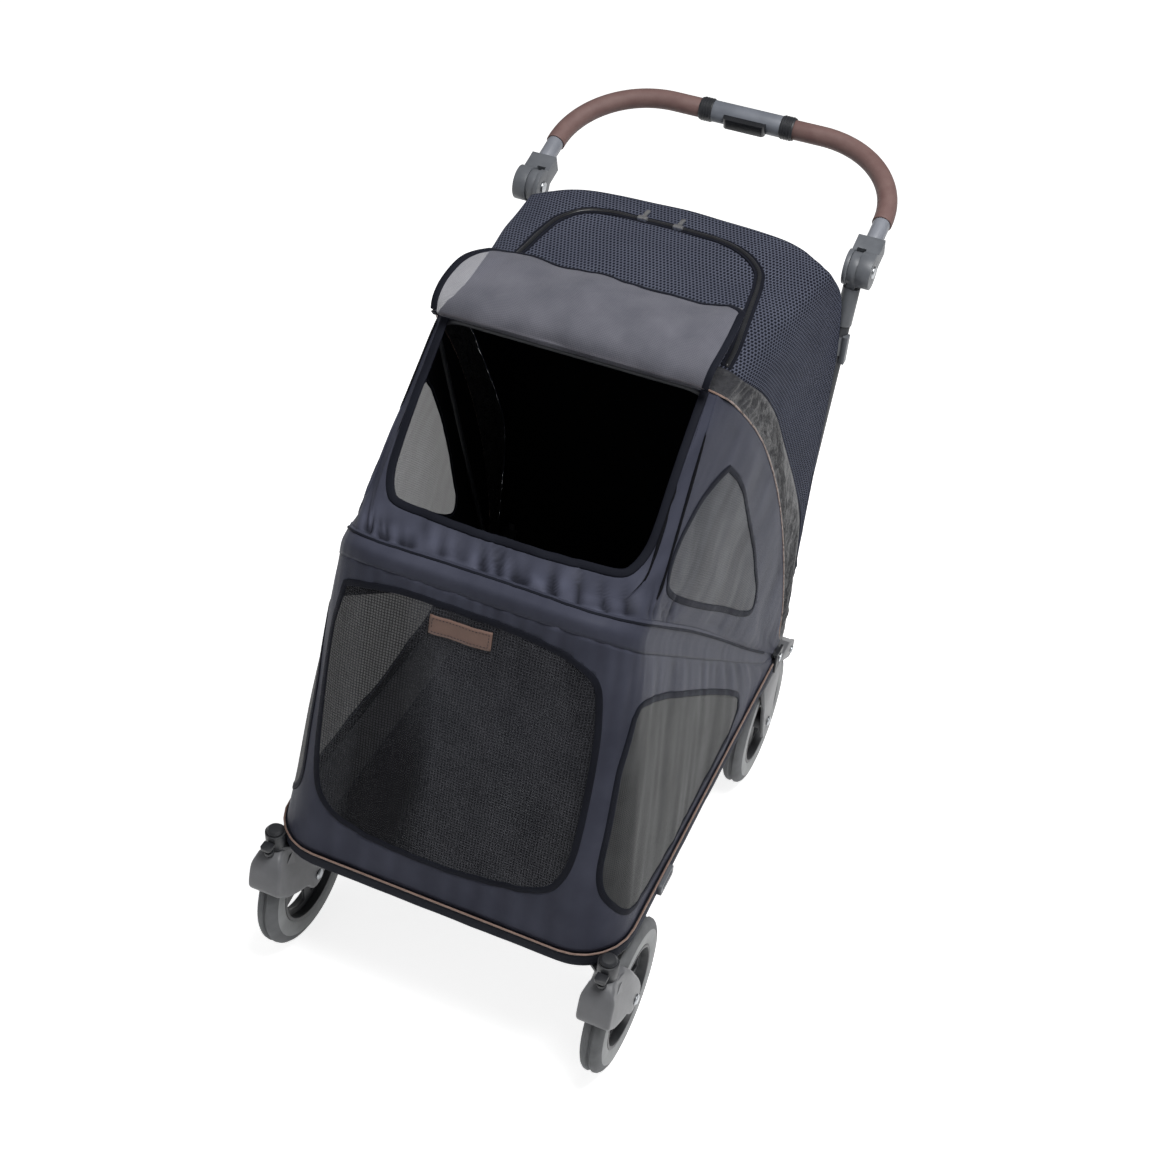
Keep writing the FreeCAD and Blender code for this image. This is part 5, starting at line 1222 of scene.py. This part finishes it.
# %% Spinning a profile
def spun(name, section, centre, steps=72):
    """Spin a closed section, given as (along the axle, out from it), about the axle."""
    bpy.ops.object.select_all(action="DESELECT")
    bpy.ops.mesh.primitive_circle_add(vertices=len(section), radius=1)
    piece = bpy.context.object
    piece.name = name
    for vertex, (x, r) in zip(piece.data.vertices, section):
        vertex.co = (centre[0] + x, centre[1], centre[2] + r)
    bpy.ops.object.mode_set(mode="EDIT")
    bpy.ops.mesh.select_all(action="SELECT")
    bpy.ops.mesh.spin(steps=steps, angle=2 * pi, center=centre, axis=(1, 0, 0))
    bpy.ops.mesh.select_all(action="SELECT")
    bpy.ops.mesh.remove_doubles(threshold=0.00001)
    bpy.ops.mesh.normals_make_consistent(inside=False)
    bpy.ops.object.mode_set(mode="OBJECT")
    return piece


# %% [markdown]
# ## Shaping the collars
# The profile's first and last points lie 0.4 mm under the housing's surface. The edge that closes the section between
# them runs inside the housing, apart from the last 4 mm, which pass its end and stand about 1 mm clear of the grip.
# The ribs are drawn one after another along the profile.

# %% The collars
housing_low, housing_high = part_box("handle_housing")
housing_middle = (housing_low + housing_high) / 2
housing_radius = (housing_high.z - housing_low.z) / 2
COLLAR = 0.0205
ribs = [(0, -0.0004), (0.0002, 0.0004), (0.0010, 0.0008)]
for number in range(4):
    foot = 0.0022 + number * 0.0042
    ribs += [(foot, 0.0008), (foot + 0.0006, 0.0017), (foot + 0.0022, 0.0017), (foot + 0.0028, 0.0008)]
ribs += [(COLLAR - 0.0010, 0.0008), (COLLAR, 0.0002), (COLLAR, -0.0004)]
collars = []
for sign in (-1, 1):
    section = [(sign * (housing_high.x - 0.0165 + along), housing_radius + out_from) for along, out_from in ribs]
    collars.append(spun("collar", section, housing_middle, 64))
handle_collars = joined("handle_collars", collars)
handle_collars.data.materials.append(black_nylon)
bpy.ops.object.shade_smooth_by_angle(angle=radians(50))
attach(handle_collars, "handle")
print("collars:", len(handle_collars.data.polygons), "faces")

# %% [markdown]
# ## Wheels
# The tyres are moulded foam with a groove round the middle of the tread and a pale ring on each side.

# %% Tyres
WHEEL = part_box("tyre_front_right")
RADIUS = (WHEEL[1].z - WHEEL[0].z) / 2
TYRE_HALF = (WHEEL[1].x - WHEEL[0].x) / 2
RIM_RADIUS = RADIUS - 0.036

half_tyre = [(0, RADIUS - 0.0042), (0.0012, RADIUS - 0.0040), (0.0022, RADIUS - 0.0014), (0.0042, RADIUS),
             (0.0085, RADIUS - 0.0008), (0.0120, RADIUS - 0.0038), (0.0145, RADIUS - 0.0085),
             (0.0157, RADIUS - 0.0140), (TYRE_HALF, RADIUS - 0.0200), (TYRE_HALF, RADIUS - 0.0290),
             (0.0152, RADIUS - 0.0335), (0.0140, RIM_RADIUS + 0.0002)]
tyre_section = half_tyre + [(-x, r) for x, r in half_tyre[:0:-1]]
tyres = []
for place_name in ("front_left", "front_right", "rear_left", "rear_right"):
    lowest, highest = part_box("tyre_" + place_name)
    tyre = spun("foam_tyre_" + place_name, tyre_section, (lowest + highest) / 2, 96)
    tyre.data.materials.append(rubber)
    tyre.data.materials.append(sidewall)
    centre = (lowest + highest) / 2
    for face in tyre.data.polygons:
        at = face.center - centre
        reach = Vector((0, at.y, at.z)).length
        if abs(at.x) > 0.0142 and reach < RADIUS - 0.0130:
            face.material_index = 1
    bpy.ops.object.select_all(action="DESELECT")
    tyre.select_set(True)
    bpy.ops.object.shade_smooth_by_angle(angle=radians(35))
    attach(tyre, place_name.replace("front", "front_wheel").replace("rear", "rear_wheel"))
    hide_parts("tyre_" + place_name)
    tyres.append(tyre)
print("tyres:", len(tyres), "of", len(tyres[0].data.polygons), "faces")

# %% [markdown]
# ## Caster forks
# Each front wheel turns in a moulded nylon fork: a crown round the stem that widens into two cheeks, with a lip
# over the tread. A side profile is drawn, extruded across the wheel, narrowed towards the stem, rounded with a
# bevel, and hollowed by the wheel's well.

# %% The fork's profile and its well
FORK_PROFILE = [(-0.103, 0.056), (-0.106, 0.070), (-0.098, 0.096), (-0.086, 0.114), (-0.066, 0.118), (-0.044, 0.117),
                (-0.030, 0.100), (-0.014, 0.074), (0.004, 0.044), (0.019, 0.012), (0.018, -0.008), (0.004, -0.020),
                (-0.014, -0.018), (-0.030, 0.002), (-0.052, 0.014), (-0.082, 0.034)]


LOCK_OFFSET, LOCK_RADIUS = 0.019, 0.0036  # where the swivel lock's pin drops in, before and behind the stem


def moulded_fork(name, profile, centre, half_width, stem_y, waist=0.62):
    """Extrude a side profile across the wheel, draw it in towards the stem, and hollow it for the wheel."""
    outline = smooth_loop(profile, 4)
    bpy.ops.object.select_all(action="DESELECT")
    bpy.ops.mesh.primitive_circle_add(vertices=len(outline), fill_type="NGON", radius=1)
    fork = bpy.context.object
    fork.name = name
    for vertex, (y, z) in zip(fork.data.vertices, outline):
        vertex.co = (-half_width, y, z)
    bpy.ops.object.mode_set(mode="EDIT")
    bpy.ops.mesh.select_all(action="SELECT")
    bpy.ops.mesh.extrude_region_move(TRANSFORM_OT_translate={"value": (2 * half_width, 0, 0)})
    bpy.ops.mesh.select_all(action="SELECT")
    bpy.ops.mesh.normals_make_consistent(inside=False)
    bpy.ops.object.mode_set(mode="OBJECT")
    top = max(z for y, z in profile)
    for vertex in fork.data.vertices:
        rise = min(max((vertex.co.z - 0.094) / (top - 0.094), 0), 1)
        vertex.co.x *= 1 - (1 - waist) * rise ** 2
    bevel = fork.modifiers.new("rounding", "BEVEL")
    bevel.width = 0.0045
    bevel.segments = 4
    bevel.limit_method = "ANGLE"
    bevel.angle_limit = radians(50)
    bpy.ops.object.modifier_apply(modifier="rounding")
    bpy.ops.mesh.primitive_cylinder_add(vertices=96, radius=RADIUS + 0.0025, depth=2 * TYRE_HALF + 0.005,
                                        rotation=(0, pi / 2, 0))
    well = bpy.context.object
    bpy.ops.object.transform_apply(location=True, rotation=True, scale=True)
    bpy.context.view_layer.objects.active = fork
    hollow = fork.modifiers.new("well", "BOOLEAN")
    hollow.object = well
    hollow.solver = "EXACT"
    bpy.ops.object.modifier_apply(modifier="well")
    bpy.data.objects.remove(well)
    for way in (-1, 1):
        bpy.ops.mesh.primitive_cylinder_add(vertices=24, radius=LOCK_RADIUS, depth=0.016,
                                            location=(0, stem_y + way * LOCK_OFFSET, top))
        pin_hole = bpy.context.object
        bpy.ops.object.transform_apply(location=True, rotation=True, scale=True)
        bpy.context.view_layer.objects.active = fork
        drill = fork.modifiers.new("pin_hole", "BOOLEAN")
        drill.object = pin_hole
        drill.solver = "EXACT"
        bpy.ops.object.modifier_apply(modifier="pin_hole")
        bpy.data.objects.remove(pin_hole)
    fork.data.transform(Matrix.Translation(centre))
    fork.data.materials.clear()
    fork.data.materials.append(fork_nylon)
    bpy.ops.object.select_all(action="DESELECT")
    fork.select_set(True)
    bpy.ops.object.shade_smooth_by_angle(angle=radians(40))
    return fork


forks = []
for side in ("left", "right"):
    lowest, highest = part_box("tyre_front_" + side)
    fork_low, fork_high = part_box("caster_fork_" + side)
    half = (fork_high.x - fork_low.x) / 2
    fork = moulded_fork("moulded_fork_" + side, FORK_PROFILE, (lowest + highest) / 2, half, -0.064)
    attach(fork, "caster_" + side)
    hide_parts("caster_fork_" + side)
    forks.append(fork)
print("forks:", [len(fork.data.polygons) for fork in forks])

# %% [markdown]
# ## Riding on the frame
# The sleeve, the seam, the piping, the rear wall, the flap, the band, the hem and the cushion are each given to the
# body that carries it. The tray, the hood, the gathered strip, the roof and what is sewn on them have their places
# baked into their meshes.

# %% Bodies and replaced parts
for piece in [tray_cloth] + tray_nets:
    hang(piece, share_of(piece))
for piece in tray_tapes + [leather_patch, patch_stitching]:
    hang(piece, shares_near(tray, piece))
for piece in [hood_cloth] + hood_nets:
    hang(piece, share_of(piece))
for piece in hood_tapes:
    hang(piece, shares_near(hood, piece))
# the strip's rear edge lies 4.0 degrees behind its bow at the top and 3.2 at the upper corners, and the uprights turn
# 31.6 degrees further than the bow; a share of 0.13 is 4.1 degrees of that turn, which at the strip's upper corners
# is 0.9 of a degree past the bow, and a much larger share would put all of the strip past it
GATHER_SHARE = 0.13
hang(gathered_cloth, share_of(gathered_cloth) * GATHER_SHARE)
hang(roof_cloth, GATHER_SHARE + (1 - GATHER_SHARE) * share_of(roof_cloth))
hang(roof_zip, shares_near(roof, roof_zip, GATHER_SHARE, 1))
for piece, body in ((rim_sleeve, "rim_bow"), (rim_seam, "rim_bow"), (canopy_piping, "canopy_bow"),
                    (rear_wall, "upright"), (flap_cloth, "flap"), (flap_binding, "flap"), (base_band, "base"),
                    (rear_hem, "base"), (tray_piping, "base"), (cushion, "base")):
    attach(piece, body)

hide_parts("front_panel", "side_panel_left", "side_panel_right")
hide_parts("hood_front")
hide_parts("gathered_strip")
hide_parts("roof_panel")
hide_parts("rear_panel")
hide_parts("front_flap")
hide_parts("floor_cushion")

# %% [markdown]
# ## The cloth's cut sizes
# The sizes of the tray's and the hood's cloth are measured on the grids above, which are the pattern from which each
# panel was made.


# a panel's own cloth is its cut less its windows, which are sheets of their own, and less the hood's opening
for piece, grid, nets, thrown_away, rests_on in ((tray_cloth, tray, tray_nets, 0, "side_rails"),
                                                 (hood_cloth, hood, hood_nets, opening_area, "canopy_bow")):
    width, length, area = cut_size(grid)
    left = area - thrown_away
    for net in nets:
        flat = np.array([loop.uv[:] for loop in net.data.uv_layers.active.data])
        across, up = (float(reach) for reach in np.ptp(flat, axis=0))
        left -= mesh_area(net)
